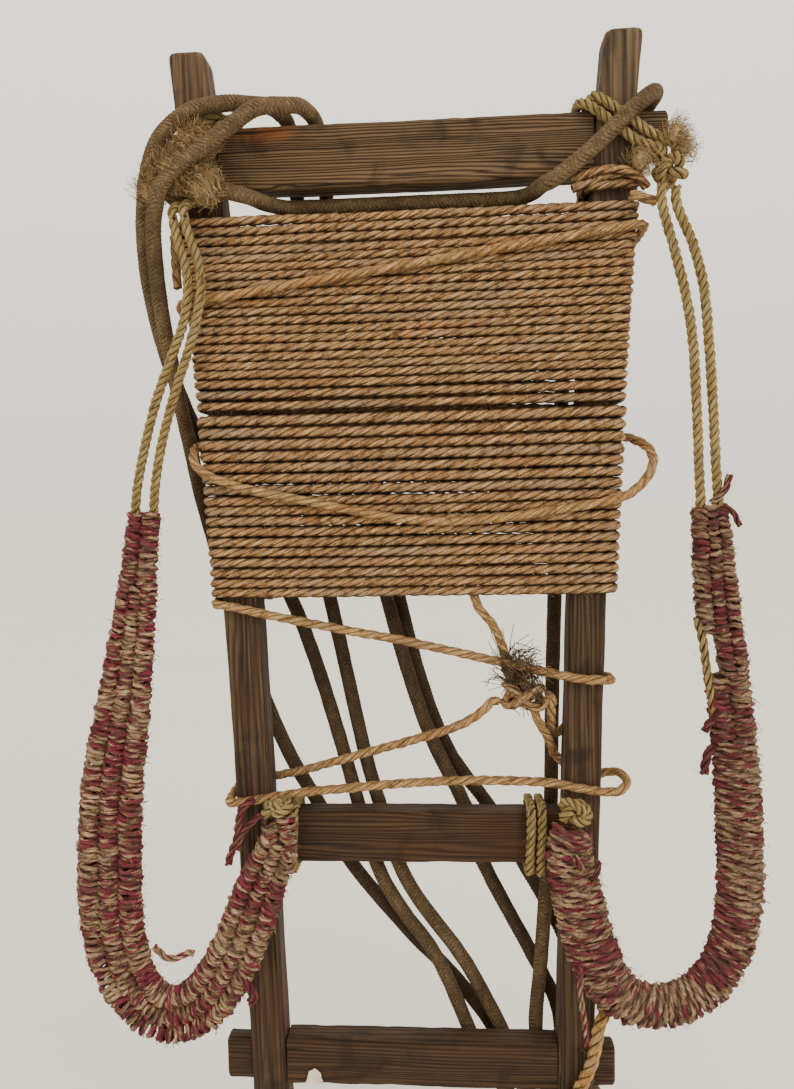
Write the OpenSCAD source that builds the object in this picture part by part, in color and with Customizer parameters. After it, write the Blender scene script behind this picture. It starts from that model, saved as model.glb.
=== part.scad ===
// Wooden carrying frame: two bowed stiles, three tenoned rails, a wound rope
// back panel, a lashing rope behind it and two woven shoulder straps.
// Front (the wearer's side) faces -Y, the load's side faces +Y, +Z is up.
// The origin is on the ground, midway between the feet.

/* [Stiles] */
// Height of the stiles
frame_h = 1078; // [900:1:1300]
// Width of a stile, seen from the front
stile_w = 35; // [28:0.5:42]
// Depth of a stile, front to back
stile_d = 32; // [26:0.5:38]
// Half the distance between the stile centres at the feet
foot_half = 144; // [120:1:174]
// How far a stile leans outward per millimetre of height
stile_lean = 0.0275; // [0.015:0.0005:0.04]
// Extra outward bow at the top of a stile
stile_flare = 22; // [10:1:27]
// Height at which the bow begins
bow_from = 350; // [250:5:420]

/* [Rails] */
// Height of the top rail's centre
top_rail_z = 980; // [960:1:1000]
// Height of the middle rail's centre
middle_rail_z = 349; // [330:1:352]
// Height of the lower rail's centre
lower_rail_z = 125; // [119:1:140]
// Height of the top rail's face
top_rail_h = 57; // [47:1:60]
// Height of the middle rail's face
middle_rail_h = 50; // [40:1:54]
// Height of the lower rail's face
lower_rail_h = 46; // [36:1:55]
// Depth of every rail, front to back
rail_d = 28; // [22:0.5:31]
// Thickness of the tenons
tenon_d = 18; // [12:0.5:20]
// Height of the tenons
tenon_h = 40; // [30:1:44]
// How far the top tenon stands out of the left stile
top_proud_left = 27; // [10:1:32]
// How far the top tenon stands out of the right stile
top_proud_right = 31; // [10:1:37]
// How far the lower tenon stands out of the left stile
lower_proud_left = 25; // [10:1:30]
// How far the lower tenon stands out of the right stile
lower_proud_right = 20; // [10:1:24]
// Depth of the middle rail's blind tenons
blind_depth = 18; // [12:0.5:22]

/* [Rope] */
// Diameter of the straw rope of the back winding
winding_d = 8.4; // [6:0.1:8.6]
// Diameter of the braided lashing rope
lashing_d = 14; // [10:0.5:14]
// Diameter of the shoulder cords
cord_d = 9; // [6:0.5:9]
// Diameter of the rope round the foot
foot_rope_d = 12; // [8:0.5:12]
// Gap between a rope and what it lies on
rope_gap = 0.3; // [0.2:0.1:0.4]

/* [Shoulder straps] */
// Thickness of the woven straps
strap_t = 24; // [16:1:26]

/* [Hidden] */

joint_gap = 0.15;                       // clearance round a tenon, each side
rope_out = stile_d / 2 + rope_gap;      // where the first layer of rope begins
wood = "#7a5f45";
straw = "#b08d57";
braid = "#7b6647";
olive = "#8d7c45";
woven = "#a8867a";

// Winding bands from the top down: [lowest point, number of turns, pitch]
winding_bands = [
    [899, 4, 8.5], [757, 17, 8.15], [721, 3, 9.6],
    [668, 5, 9.4], [600, 6, 10.2], [582, 1, 9]];

// Ends of the two strap hinge axes: [upper, lower]
left_axis = [[-190, -42, 924], [-104, -42, 385]];
right_axis = [[214, -42, 930], [118, -42, 372]];

// ---------------------------------------------------------------- routes
// Each route is a list of points on the rope's centre line.
start_route = [
    [148, -21, 938.5], [163, -21.2, 942], [178, -21.2, 948],
    [192, -21.2, 951.5], [201, -21, 952.5], [204.5, -19.5, 952.5],
    [206.2, -16, 952], [207, 0, 951], [206.2, 16, 948.5],
    [204.5, 19.5, 947.5], [200, 21, 946.5], [180, 21, 944.5], [160, 21, 942.5]];
stub_route = [[196, -29.5, 928], [206, -29.5, 926], [219, -28.5, 921]];
tail_route = [
    [-213, -10, 914], [-212.5, -12, 900], [-211, -14, 884], [-210, -15, 866]];
diagonal_route = [
    [0, 29.9, 869], [-100, 29.9, 857], [-193.0, 29.9, 848.0],
    [-200.1, 28.0, 847.0], [-205.2, 22.8, 846.0], [-207.0, 15.7, 845.0],
    [-207.6, 0, 845], [-207.1, -15.7, 846.0], [-205.3, -22.8, 847.0],
    [-200.1, -28.0, 848.0], [-193.1, -29.9, 849.0], [-100, -29.9, 862],
    [0, -29.9, 875], [100, -29.9, 889], [197.0, -29.9, 902.0],
    [204.2, -28.0, 902.8], [209.4, -22.8, 903.7], [211.4, -15.7, 904.5],
    [212.2, 0, 904], [211.3, 15.7, 903.0], [209.3, 22.8, 901.7],
    [204.0, 28.0, 900.3], [196.8, 29.9, 899.0], [100, 29.9, 884],
    [9.6, 29.9, 870]];
loose_route = [
    [0, 29.9, 722], [-100, 29.9, 722], [-185.2, 29.9, 722.5],
    [-192.3, 28.0, 722.7], [-197.5, 22.8, 722.8], [-199.4, 15.7, 723.0],
    [-201, 0, 721], [-200, -16, 715], [-196, -26, 704], [-182, -30, 693],
    [-150, -30, 681], [-99, -30, 670], [-50, -30, 659], [-9, -30, 651],
    [45, -30, 648], [99, -30, 652], [150, -30, 659], [187, -31, 666],
    [207, -31, 680], [217, -24, 696], [217, -8, 710], [208, 9, 719],
    [200, 23, 722.5], [184, 29.9, 723], [100, 29.9, 722], [9.6, 29.9, 722]];
riser_route = [
    [58, -20.5, 581.2], [58.4, -20.5, 575], [64, -17.5, 566], [74, -11, 551],
    [81, -8, 535], [87, -7.6, 519], [91.4, -10.5, 508], [92, -13, 504],
    [92, -13, 499.6]];
upper_cross_route = [
    [-138, 21, 577], [-165, 21, 577], [-178.6, 21, 576.8],
    [-182.2, 19.6, 576.6], [-183.8, 16, 576.4], [-184.4, 0, 575.5],
    [-183.8, -16, 574.3], [-182.2, -19.6, 573.8], [-178.4, -21, 573],
    [-165, -21, 571], [-104, -21, 557], [-11, -21, 539], [80, -21, 518],
    [134, -21, 505.5], [158, -21, 501.5], [175.7, -21, 500.4],
    [179.3, -19.6, 500], [181, -16, 499.5], [181.7, 0, 498.5], [181, 16, 496],
    [179.3, 19.6, 494], [174.6, 21.2, 489.5], [163, 21.4, 477],
    [150, 21.5, 455], [142, 21.7, 443], [137, 21.4, 440], [133, 18.5, 441],
    [131, 11, 445], [128.5, 0, 455], [127, -11, 471], [127, -15.8, 484], [121.2, -16, 485]];
lower_cross_route = [
    [78.6, -18, 481], [72, -18, 480.6], [58, -16.5, 467], [33, -13, 453],
    [-14, -4, 437], [-62, 6, 421], [-110, 14, 405], [-138, 21, 397],
    [-158, 21, 392], [-172.4, 21, 389], [-176, 19.6, 388],
    [-177.6, 16, 387.3], [-178.2, 0, 386], [-177.6, -16, 385.3],
    [-176, -19.6, 385], [-172.3, -21, 385.2], [-158, -21, 386.5],
    [-140, -21, 389.5], [-109, -21, 395], [-61, -21, 400], [32, -21, 407],
    [115, -21, 406], [150, -21, 400], [170, -21, 397], [184, -20, 396.5],
    [193, -14, 398.5], [197, -4, 401], [195, 8, 404], [186, 19, 402],
    [172, 21.4, 398], [152, 21.5, 401], [140, 21.6, 412], [135.6, 21.3, 417],
    [132, 18, 421], [130.5, 11, 428], [125, 0, 442], [117, -11, 457],
    [112, -15.5, 467], [111, -16, 474.4]];

left_outer_route = [
    [-203, -42, 918.4], [-201.6, -42, 909.6], [-198, -42, 895],
    [-193.6, -42, 878], [-191.8, -42, 860], [-196, -42, 833],
    [-206, -42, 806], [-224, -42, 762], [-237, -42, 718], [-245, -41, 685],
    [-248.4, -40, 661.8]];
left_inner_route = [
    [-193, -42, 920], [-191.6, -42, 911.2], [-187, -42, 898],
    [-181.6, -42, 880], [-180.2, -42, 860], [-184.4, -42, 835],
    [-193, -42, 806], [-209, -42, 762], [-222, -42, 718], [-228.6, -41, 685],
    [-231.4, -40, 659.6]];
right_inner_route = [
    [220.9, -42, 930.7], [219.8, -42, 924], [221, -42, 913], [225.6, -42, 895],
    [231, -42, 876], [241, -42, 835], [247, -42, 792], [250.5, -42, 723],
    [252, -41, 690], [254, -40, 656.8]];
right_outer_route = [
    [232.9, -42, 928.7], [231.8, -42, 922], [233.4, -42, 912], [238.6, -42, 899],
    [246.4, -42, 880], [255.6, -42, 843], [261, -42, 783], [264.5, -42, 723],
    [266.5, -41, 690], [269, -40, 658]];

left_tie_route_a = [
    [-193.14, -42, 921], [-193.9, -42, 925.4], [-193.2, -39.8, 930.2],
    [-192.2, -34.4, 934], [-191, -28, 936.8], [-190, -23, 941.5],
    [-189.2, -21.2, 950], [-184, -21.2, 975], [-170, -21.2, 1000],
    [-163, -21, 1007], [-156.5, -18.4, 1012.6], [-154, -8, 1014.8],
    [-154, 8, 1014.8], [-157, 18.7, 1012], [-163, 21, 1000]];
left_tie_route_b = [
    [-203.14, -42, 919.4], [-203.9, -42, 923.8], [-202.9, -39.8, 928.6],
    [-201.8, -34.4, 932.4], [-200.6, -28, 935.4], [-199.7, -23, 940.5],
    [-198.8, -21.2, 950], [-194.6, -21.2, 976], [-182.6, -21.2, 1001],
    [-175, -21.4, 1009.6], [-166.6, -20, 1015.4], [-163.7, -8, 1016.4],
    [-163.7, 8, 1016.4], [-166, 18.6, 1015], [-170, 21.4, 1008],
    [-175, 21.2, 996]];
right_tie_route_a = [
    [160, 21, 998], [156.6, 19, 1012], [155.6, 8, 1014.8],
    [155.6, -8, 1014.8], [159.6, -19, 1011.6], [166, -21.2, 1006.4],
    [174, -21.2, 1000.4], [188, -21.2, 989], [203, -21.2, 977.6],
    [215, -22, 971.6], [222.6, -23.8, 968.4], [224.2, -24, 965.4],
    [223.1, -24, 960.2]];
right_tie_route_b = [
    [175, 21.2, 999], [170, 21.4, 1010], [166.4, 18.6, 1016],
    [165.2, 6, 1016.8], [165.2, -8, 1016.8], [168, -20, 1016.6],
    [175.6, -21.4, 1012], [188, -21.2, 1003.6], [201, -21.2, 994],
    [216, -21.2, 983], [229, -21.8, 976], [236.4, -23.4, 971],
    [237.4, -24, 966], [236, -24, 958.2]];

lashing_outer_route = [
    [112.9, 38.5, 66], [104, 39, 69], [92, 40.5, 94], [76, 42, 122],
    [52, 42, 158], [24, 42, 192], [-11, 42, 228], [-69, 40, 300],
    [-98, 38, 358], [-127, 34, 412], [-158, 33, 490], [-188, 36, 590],
    [-209, 36, 670], [-219, 30, 730], [-225, 12, 790], [-227, -9, 840],
    [-225, -28, 880], [-221, -42, 915], [-214, -47.6, 940],
    [-205, -47.8, 953], [-190, -47.8, 966], [-172, -47.8, 977],
    [-155, -47.8, 989], [-132, -46, 1006], [-118, -42, 1012],
    [-104, -35, 1015], [-92, -24, 1019], [-86, -6, 1021], [-82, 12, 1019],
    [-80, 25, 1006], [-79, 34, 980], [-76, 41, 945], [-64, 43, 862], [-50, 47, 770], [-17, 57, 571], [23, 48, 431], [74, 46, 353], [106, 44, 297],
    [126, 44, 261], [145, 41, 222], [158, 34, 170], [159, 31, 125],
    [159, 30, 98], [159, 30, 88.9]];
lashing_middle_route = [
    [112.6, 23.5, 52], [104, 23.5, 52], [96, 24.5, 56],
    [82, 26, 76], [58, 27, 110],
    [19, 27, 205], [-20, 27, 262], [-44, 28, 310], [-71, 32, 410],
    [-98, 40, 500], [-126, 46, 574], [-165, 52, 640], [-200, 53, 705],
    [-226, 44, 765], [-238, 22, 820], [-241, -2, 870], [-238, -20, 908],
    [-233, -30, 938], [-228, -33.4, 962], [-219, -33.4, 988],
    [-205, -33.4, 1004], [-189, -33.4, 1014], [-170, -33.4, 1019],
    [-150, -33.4, 1020], [-132, -31, 1019], [-120, -22, 1021],
    [-113, -6, 1022], [-109, 13, 1020.5], [-107, 26, 1007], [-107, 33, 978],
    [-104, 40, 945], [-88, 42.5, 860], [-70, 42, 770], [-28, 42, 573], [9, 34, 445],
    [49, 32, 358], [63, 34, 306], [114, 40, 203], [136, 41, 155],
    [140, 39, 120], [140, 38, 98], [140, 38, 88.9]];
lashing_inner_route = [
    [112.6, 23.5, 73.5], [104, 23.5, 73.7], [98.5, 24.5, 82], [93, 26, 98], [85, 27, 125],
    [45, 27, 205], [0, 27, 268], [-22, 28, 310], [-36, 30, 358],
    [-53, 34, 420], [-85, 42, 573], [-128, 42, 770], [-158, 42, 905],
    [-170, 40, 930], [-184, 34, 946], [-195.5, 25, 948], [-203.8, 23.5, 948.5], [-208.8, 19, 948.5], [-210.6, 4, 948], [-211.2, -16, 947.5], [-210.4, -27, 947.3], [-203, -33.4, 947.2], [-188, -33.6, 947],
    [-166, -33.4, 945.5], [-150, -30, 943.5], [-138, -20, 942.4],
    [-128, -4, 942.4], [-114, 8, 942.4], [-98, 11, 942.4], [-50, 11, 942.4],
    [0, 11, 942.4], [50, 11, 942.4], [92, 11, 942.4], [108, 6, 942.4],
    [117, -6, 942.4], [123, -22, 942.4], [131, -32.6, 943], [149, -33.6, 955],
    [174, -33.6, 976], [195, -33.6, 996], [212, -31, 1010], [221, -18, 1018],
    [222, 0, 1019], [217, 18, 1014], [207, 31, 1000], [194, 39, 970],
    [176, 42, 935], [156, 42, 880], [145, 42, 740], [138, 40, 583],
    [134, 37.5, 471], [132.5, 36, 400], [131, 32, 365], [128, 28.5, 312],
    [124, 25, 271], [118, 24, 200], [113.5, 24, 152], [115, 24, 120],
    [123, 24, 101], [124, 24, 89]];
foot_rope_route = [
    [140, 23, 226], [153, 23, 222], [167.4, 23, 216], [172.4, 21, 213.4],
    [174.6, 16, 211], [178, 2, 204], [177, -11, 195], [173.8, -16.4, 188],
    [171.4, -21, 182], [167, -23.2, 172], [163.4, -23.4, 152],
    [157, -23.4, 130], [148, -23.4, 112], [141, -23.4, 101], [139, -23.4, 94],
    [139, -23.4, 89.1]];

// Strap routes: [x, z, width] from the cords down, round and up to the tie
strap_y = -40;
left_strap_route = [
    [-240, 659.8, 29], [-245, 624, 31], [-251, 581, 36], [-266, 488, 49],
    [-280, 412, 57], [-286, 336, 60], [-286, 275, 60], [-273, 222, 56],
    [-243, 190, 53], [-204, 200, 51], [-172, 245, 49], [-146, 308, 45],
    [-130, 345, 38], [-124.4, 366, 32], [-126.6, 379.2, 30]];
right_strap_route = [
    [261.4, 656.6, 30], [264, 622, 34], [268, 575, 37], [279, 486, 38],
    [287, 395, 41], [288, 304, 41], [276, 250, 41], [248, 216, 41],
    [211, 206, 42], [178, 220, 44], [156, 265, 46], [144, 316, 45],
    [138.4, 348, 40], [138.8, 358, 38], [141, 370.8, 36]];

// ------------------------------------------------------------- functions
function unit(v) = v / norm(v);
function last(list) = list[len(list) - 1];

// Distance of a stile's centre line from the middle, at height z
function stile_x(z) =
    foot_half + stile_lean * z
    + stile_flare * pow(max(0, z - bow_from) / (frame_h - bow_from), 2.5);
function stile_inner(z) = stile_x(z) - stile_w / 2;
function stile_outer(z) = stile_x(z) + stile_w / 2;

// Rounded rectangle, as points anticlockwise, with corners of radius r
function corner(cx, cy, r, from, steps) =
    [for (i = [0:steps]) let (a = from + 90 * i / steps)
        [cx + r * cos(a), cy + r * sin(a)]];
function round_rect(x0, x1, y0, y1, r, steps) = concat(
    corner(x1 - r, y1 - r, r, 0, steps), corner(x0 + r, y1 - r, r, 90, steps),
    corner(x0 + r, y0 + r, r, 180, steps),
    corner(x1 - r, y0 + r, r, 270, steps));

// A smooth curve through the points, with some points between each pair
function blend(a, b, c, d, t) =
    0.5 * (2 * b + (c - a) * t + (2 * a - 5 * b + 4 * c - d) * t * t
        + (3 * b - 3 * c + d - a) * t * t * t);
function smooth(route, steps) = concat(
    [for (i = [0:len(route) - 2]) for (s = [0:steps - 1])
        blend(route[max(i - 1, 0)], route[i], route[i + 1],
            route[min(i + 2, len(route) - 1)], s / steps)],
    [last(route)]);

// Directions along a line of points, and a sideways vector for each that
// turns no more than the line does
function tangents(line) =
    [for (i = [0:len(line) - 1])
        unit(line[min(i + 1, len(line) - 1)] - line[max(i - 1, 0)])];
function across(t) =
    unit(cross(t, abs(t[2]) < 0.8 ? [0, 0, 1] : [1, 0, 0]));
function sideways(ts) =
    [for (i = 0, n = across(ts[0]); i < len(ts);
        i = i + 1,
        n = i < len(ts) ? unit(n - (n * ts[i]) * ts[i]) : n) n];

// Faces of a skin over rings of n points, closed at both ends
function skin_faces(rings, n) = concat(
    [[for (k = [0:n - 1]) k]],
    [for (i = [0:rings - 2]) for (k = [0:n - 1])
        let (a = i * n + k, b = i * n + (k + 1) % n) [a, a + n, b + n, b]],
    [[for (k = [n - 1:-1:0]) (rings - 1) * n + k]]);

// -------------------------------------------------------------- builders
// A round rope along a route
module rope(route, d, steps = 2, sides = 8) {
    line = smooth(route, steps);
    ts = tangents(line);
    ns = sideways(ts);
    points = [for (i = [0:len(line) - 1]) for (k = [0:sides - 1])
        let (a = 360 * k / sides)
            line[i] + d / 2 * (cos(a) * ns[i] + sin(a) * cross(ts[i], ns[i]))];
    polyhedron(points, skin_faces(len(line), sides), convexity = 8);
}

// A woven strap: a flat rounded section that follows [x, z, width]
module strap(route, sides = 16) {
    line = smooth(route, 2);
    flat = [for (p = line) [p[0], 0, p[1]]];
    ts = tangents(flat);
    points = [for (i = [0:len(line) - 1]) for (k = [0:sides - 1])
        let (a = 360 * k / sides, c = cos(a), s = sin(a),
            w = line[i][2] / 2 * sign(c) * pow(abs(c), 0.7),
            t = strap_t / 2 * sign(s) * pow(abs(s), 0.7))
            flat[i] + [0, strap_y, 0] + w * [-ts[i][2], 0, ts[i][0]]
                - t * [0, 1, 0]];
    polyhedron(points, skin_faces(len(line), sides), convexity = 4);
}

// One turn round both stiles, between heights z0 and z1
module turn(z0, z1, inset) {
    side = stile_outer(z1) + rope_gap;
    out = winding_d - inset;
    translate([0, 0, z0])
        linear_extrude(z1 - z0)
            difference() {
                polygon(round_rect(-side - out, side + out,
                    -rope_out - out, rope_out + out, 9 - inset, 3));
                polygon(round_rect(-side, side, -rope_out, rope_out, 0.3, 1));
            }
}

// A band of turns that lie against each other
module winding_band(band) {
    waist = 0.22;   // share of the pitch where neighbouring turns meet
    for (i = [0:band[1] - 1]) {
        z = band[0] + i * band[2];
        turn(z, z + band[2] * (1 - waist), 0);
        if (i < band[1] - 1)
            turn(z + band[2] * (1 - waist), z + band[2], 1.5);
    }
}

// A rectangular loop round the middle rail at x, for a cord tie
module tie_loop(x) {
    r = cord_d / 2 + rope_gap + 0.1;
    front = 7.4;    // the loop's front hangs slack of the rail
    z0 = middle_rail_z - middle_rail_h / 2 - r;
    z1 = middle_rail_z + middle_rail_h / 2 + r;
    line = round_rect(-rail_d / 2 - front, rail_d / 2 + r, z0, z1, r, 2);
    sides = 8;
    count = len(line);
    ts = [for (i = [0:count - 1])
        unit(line[(i + 1) % count] - line[(i + count - 1) % count])];
    points = [for (i = [0:count - 1]) for (k = [0:sides - 1])
        let (a = 360 * k / sides, out = [ts[i][1], -ts[i][0]],
            p = line[i] + cord_d / 2 * cos(a) * out)
            [x + cord_d / 2 * sin(a), p[0], p[1]]];
    faces = [for (i = [0:count - 1]) for (k = [0:sides - 1])
        let (a = i * sides + k, b = i * sides + (k + 1) % sides,
            c = (i + 1) % count * sides + (k + 1) % sides,
            d = (i + 1) % count * sides + k) [a, d, c, b]];
    polyhedron(points, faces, convexity = 4);
}

// A lump of knotted cord: an eight-sided block, with a flat face towards
// the strap that hangs from it, square to the strap's hinge axis
module knot_block(size, chamfer) {
    x = size[0] / 2;
    y = size[1] / 2;
    linear_extrude(size[2])
        polygon([[x, y - chamfer], [x - chamfer, y], [chamfer - x, y],
            [-x, y - chamfer], [-x, chamfer - y], [chamfer - x, -y],
            [x - chamfer, -y], [x, chamfer - y]]);
}

// Tilt that brings +Z onto a strap's hinge axis
function axis_tilt(axis) =
    atan2(axis[0][0] - axis[1][0], axis[0][2] - axis[1][2]);

// ------------------------------------------------------------------ wood
module stile() {
    step = 42;
    top_round = 9;
    heights = [for (z = [0:step:frame_h - 30]) z];
    outer = [for (z = heights) [stile_outer(z), z]];
    inner = [for (i = [len(heights) - 1:-1:0])
        [stile_inner(heights[i]), heights[i]]];
    crown = [
        [stile_outer(frame_h) - 1, frame_h - top_round],
        [stile_outer(frame_h) - 5, frame_h - 3],
        [stile_x(frame_h) + 4, frame_h],
        [stile_x(frame_h) - 4, frame_h],
        [stile_inner(frame_h) + 5, frame_h - 3],
        [stile_inner(frame_h) + 1, frame_h - top_round]];
    rotate([90, 0, 0])
        linear_extrude(stile_d, center = true)
            polygon(concat(outer, crown, inner));
}

// Where a rail's tenon begins, counted up from the rail's lower edge
top_tenon_z = top_rail_z + top_rail_h / 2 - tenon_h - 1.5;
lower_tenon_z = lower_rail_z - tenon_h / 2;
middle_tenon_z = middle_rail_z - tenon_h / 2;
middle_reach = stile_inner(middle_rail_z) + blind_depth;

// A box for a tenon, or for its mortise when it is grown by a clearance
module tenon(z0, left, right, grow) {
    translate([-left - grow, -tenon_d / 2 - grow, z0 - grow])
        cube([left + right + 2 * grow, tenon_d + 2 * grow, tenon_h + 2 * grow]);
}

module top_tenon(grow) {
    tenon(top_tenon_z, stile_outer(top_rail_z) + top_proud_left,
        stile_outer(top_rail_z) + top_proud_right, grow);
}

module middle_tenon(grow) {
    tenon(middle_tenon_z, middle_reach, middle_reach, grow);
}

module lower_tenon(grow) {
    tenon(lower_tenon_z, stile_outer(lower_rail_z) + lower_proud_left,
        stile_outer(lower_rail_z) + lower_proud_right, grow);
}

// A rail's body between the stiles, with its shoulders cut to their slope
module rail_body(z, h) {
    z0 = z - h / 2;
    z1 = z + h / 2;
    x0 = stile_inner(z0) - joint_gap;
    x1 = stile_inner(z1) - joint_gap;
    rotate([90, 0, 0])
        linear_extrude(rail_d, center = true)
            polygon([[-x0, z0], [x0, z0], [x1, z1], [-x1, z1]]);
}

module mortised_stile() {
    difference() {
        stile();
        top_tenon(joint_gap);
        middle_tenon(joint_gap);
        lower_tenon(joint_gap);
    }
}

module stile_right() {
    color(wood) mortised_stile();
}

module stile_left() {
    color(wood)
        difference() {
            mirror([1, 0, 0]) stile();
            top_tenon(joint_gap);
            middle_tenon(joint_gap);
            lower_tenon(joint_gap);
        }
}

module top_rail() {
    color(wood) union() {
        rail_body(top_rail_z, top_rail_h);
        top_tenon(0);
    }
}

module middle_rail() {
    color(wood) union() {
        rail_body(middle_rail_z, middle_rail_h);
        middle_tenon(0);
    }
}

module lower_rail() {
    color(wood) union() {
        rail_body(lower_rail_z, lower_rail_h);
        lower_tenon(0);
    }
}

// A torn scrap of blank paper stuck to the lower rail
module label_scrap() {
    color("#e8e2d2")
        translate([0, -rail_d / 2, 0])
            rotate([90, 0, 0])
                linear_extrude(0.4)
                    polygon([[-112, 106], [-108, 119], [-103, 121],
                        [-97, 116], [-95, 108], [-101, 105]]);
}

// --------------------------------------------------------------- winding
module winding_start() { color(straw) rope(start_route, winding_d); }
module winding_stub() { color(straw) rope(stub_route, 8); }
module winding_tail() { color(straw) rope(tail_route, 8); }
module diagonal_turn() { color(straw) rope(diagonal_route, winding_d); }
module loose_turn() { color(straw) rope(loose_route, winding_d); }
module riser_rope() { color(straw) rope(riser_route, winding_d); }
module upper_cross_turn() { color(straw) rope(upper_cross_route, winding_d); }
module lower_cross_turn() { color(straw) rope(lower_cross_route, winding_d); }

// The lump where four ends of the straw rope are knotted together
module joining_knot() {
    color(straw)
        translate([100, -19, 475])
            knot_block([40, 24, 24], 7);
}

// ---------------------------------------------------------------- straps
module left_strap_band() { color(woven) strap(left_strap_route); }
module right_strap_band() { color(woven) strap(right_strap_route); }
module left_cord_outer() { color(olive) rope(left_outer_route, cord_d); }
module left_cord_inner() { color(olive) rope(left_inner_route, cord_d); }
module right_cord_outer() { color(olive) rope(right_outer_route, cord_d); }
module right_cord_inner() { color(olive) rope(right_inner_route, cord_d); }

module left_strap_tie() {
    color(olive) {
        rope(left_tie_route_a, cord_d);
        rope(left_tie_route_b, cord_d);
    }
}

module right_strap_tie() {
    color(olive) {
        rope(right_tie_route_a, cord_d);
        rope(right_tie_route_b, cord_d);
    }
}

module right_strap_knot() {
    color(olive)
        translate([227.1, -33, 930.4])
            rotate([0, axis_tilt(right_axis), 0])
                knot_block([32, 36, 28], 9);
}

module left_tie_loops() {
    color(olive) {
        tie_loop(-116);
        tie_loop(-126);
    }
}

module right_tie_loops() {
    color(olive) {
        tie_loop(106);
        tie_loop(116);
    }
}

module left_tie_knot() {
    color(olive)
        translate([-126.4, -38.7, 381.2])
            rotate([0, axis_tilt(left_axis), 0])
                knot_block([32, 26, 13], 8);
}

module right_tie_knot() {
    color(olive)
        translate([141.1, -38.7, 371.5])
            rotate([0, axis_tilt(right_axis), 0])
                knot_block([34, 26, 27], 8);
}

// --------------------------------------------------------------- lashing
module lashing_outer() { color(braid) rope(lashing_outer_route, lashing_d, 2, 10); }
module lashing_middle() { color(braid) rope(lashing_middle_route, lashing_d, 2, 10); }
module lashing_inner() { color(braid) rope(lashing_inner_route, lashing_d, 2, 10); }
module foot_rope() { color(straw) rope(foot_rope_route, foot_rope_d); }

// Three turns round the foot of the right stile, double at the back
module foot_hitch() {
    turns = 3;
    z0 = 44.4;
    pitch = 44 / turns;
    x0 = stile_inner(z0) - rope_gap;
    x1 = stile_outer(z0 + 44) + rope_gap;
    y = rope_out;
    wall = lashing_d;
    color(braid)
        for (i = [0:turns - 1])
            translate([0, 0, z0 + i * pitch])
                linear_extrude(i < turns - 1 ? pitch : 44 - i * pitch)
                    difference() {
                        polygon(round_rect(x0 - wall, x1 + wall,
                            -y - wall, y + 2 * wall + 1.7, 8, 4));
                        polygon(round_rect(x0, x1, -y, y, 0.3, 1));
                    }
}

stile_left();
stile_right();
top_rail();
middle_rail();
lower_rail();
for (i = [0:len(winding_bands) - 1])
    color(straw) winding_band(winding_bands[i]);
winding_start();
winding_stub();
winding_tail();
diagonal_turn();
loose_turn();
riser_rope();
upper_cross_turn();
lower_cross_turn();
joining_knot();
left_strap_band();
left_cord_outer();
left_cord_inner();
left_strap_tie();
left_tie_loops();
left_tie_knot();
right_strap_band();
right_cord_outer();
right_cord_inner();
right_strap_tie();
right_strap_knot();
right_tie_loops();
right_tie_knot();
lashing_outer();
lashing_middle();
lashing_inner();
foot_hitch();
foot_rope();
label_scrap();
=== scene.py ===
"""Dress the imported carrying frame: weathered wood, straw rope, braided rope and woven straps.

Lengths are millimetres in the classes and become metres where a mesh is made. The
front of the frame, which lies on the wearer's back, faces -Y and +Z is up.
"""

from __future__ import annotations

import logging
import math
from dataclasses import dataclass, field, replace
from enum import Enum
from typing import Iterable, Sequence

import bpy
import numpy as np
from mathutils import Matrix, Vector, noise

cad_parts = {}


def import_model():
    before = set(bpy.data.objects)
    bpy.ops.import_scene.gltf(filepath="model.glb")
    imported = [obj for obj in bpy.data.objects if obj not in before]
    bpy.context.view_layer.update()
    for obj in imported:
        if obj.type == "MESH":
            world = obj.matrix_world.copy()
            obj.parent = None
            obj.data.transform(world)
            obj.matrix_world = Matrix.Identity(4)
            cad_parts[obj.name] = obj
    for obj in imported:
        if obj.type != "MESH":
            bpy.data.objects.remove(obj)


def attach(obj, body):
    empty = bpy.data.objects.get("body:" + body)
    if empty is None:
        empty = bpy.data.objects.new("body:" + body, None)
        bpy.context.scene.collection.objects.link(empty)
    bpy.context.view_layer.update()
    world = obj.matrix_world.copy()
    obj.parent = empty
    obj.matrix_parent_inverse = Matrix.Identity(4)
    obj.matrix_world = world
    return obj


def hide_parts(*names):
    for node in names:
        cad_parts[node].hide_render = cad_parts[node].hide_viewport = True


LOG = logging.getLogger("carrying_frame")
MM = 0.001
TAU = 2 * math.pi
FRAME, LEFT, RIGHT = "frame", "left_strap", "right_strap"
Point = tuple[float, float, float]
Colour = tuple[float, float, float]
Value = "Link | float | int | tuple | bpy.types.Material"


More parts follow.
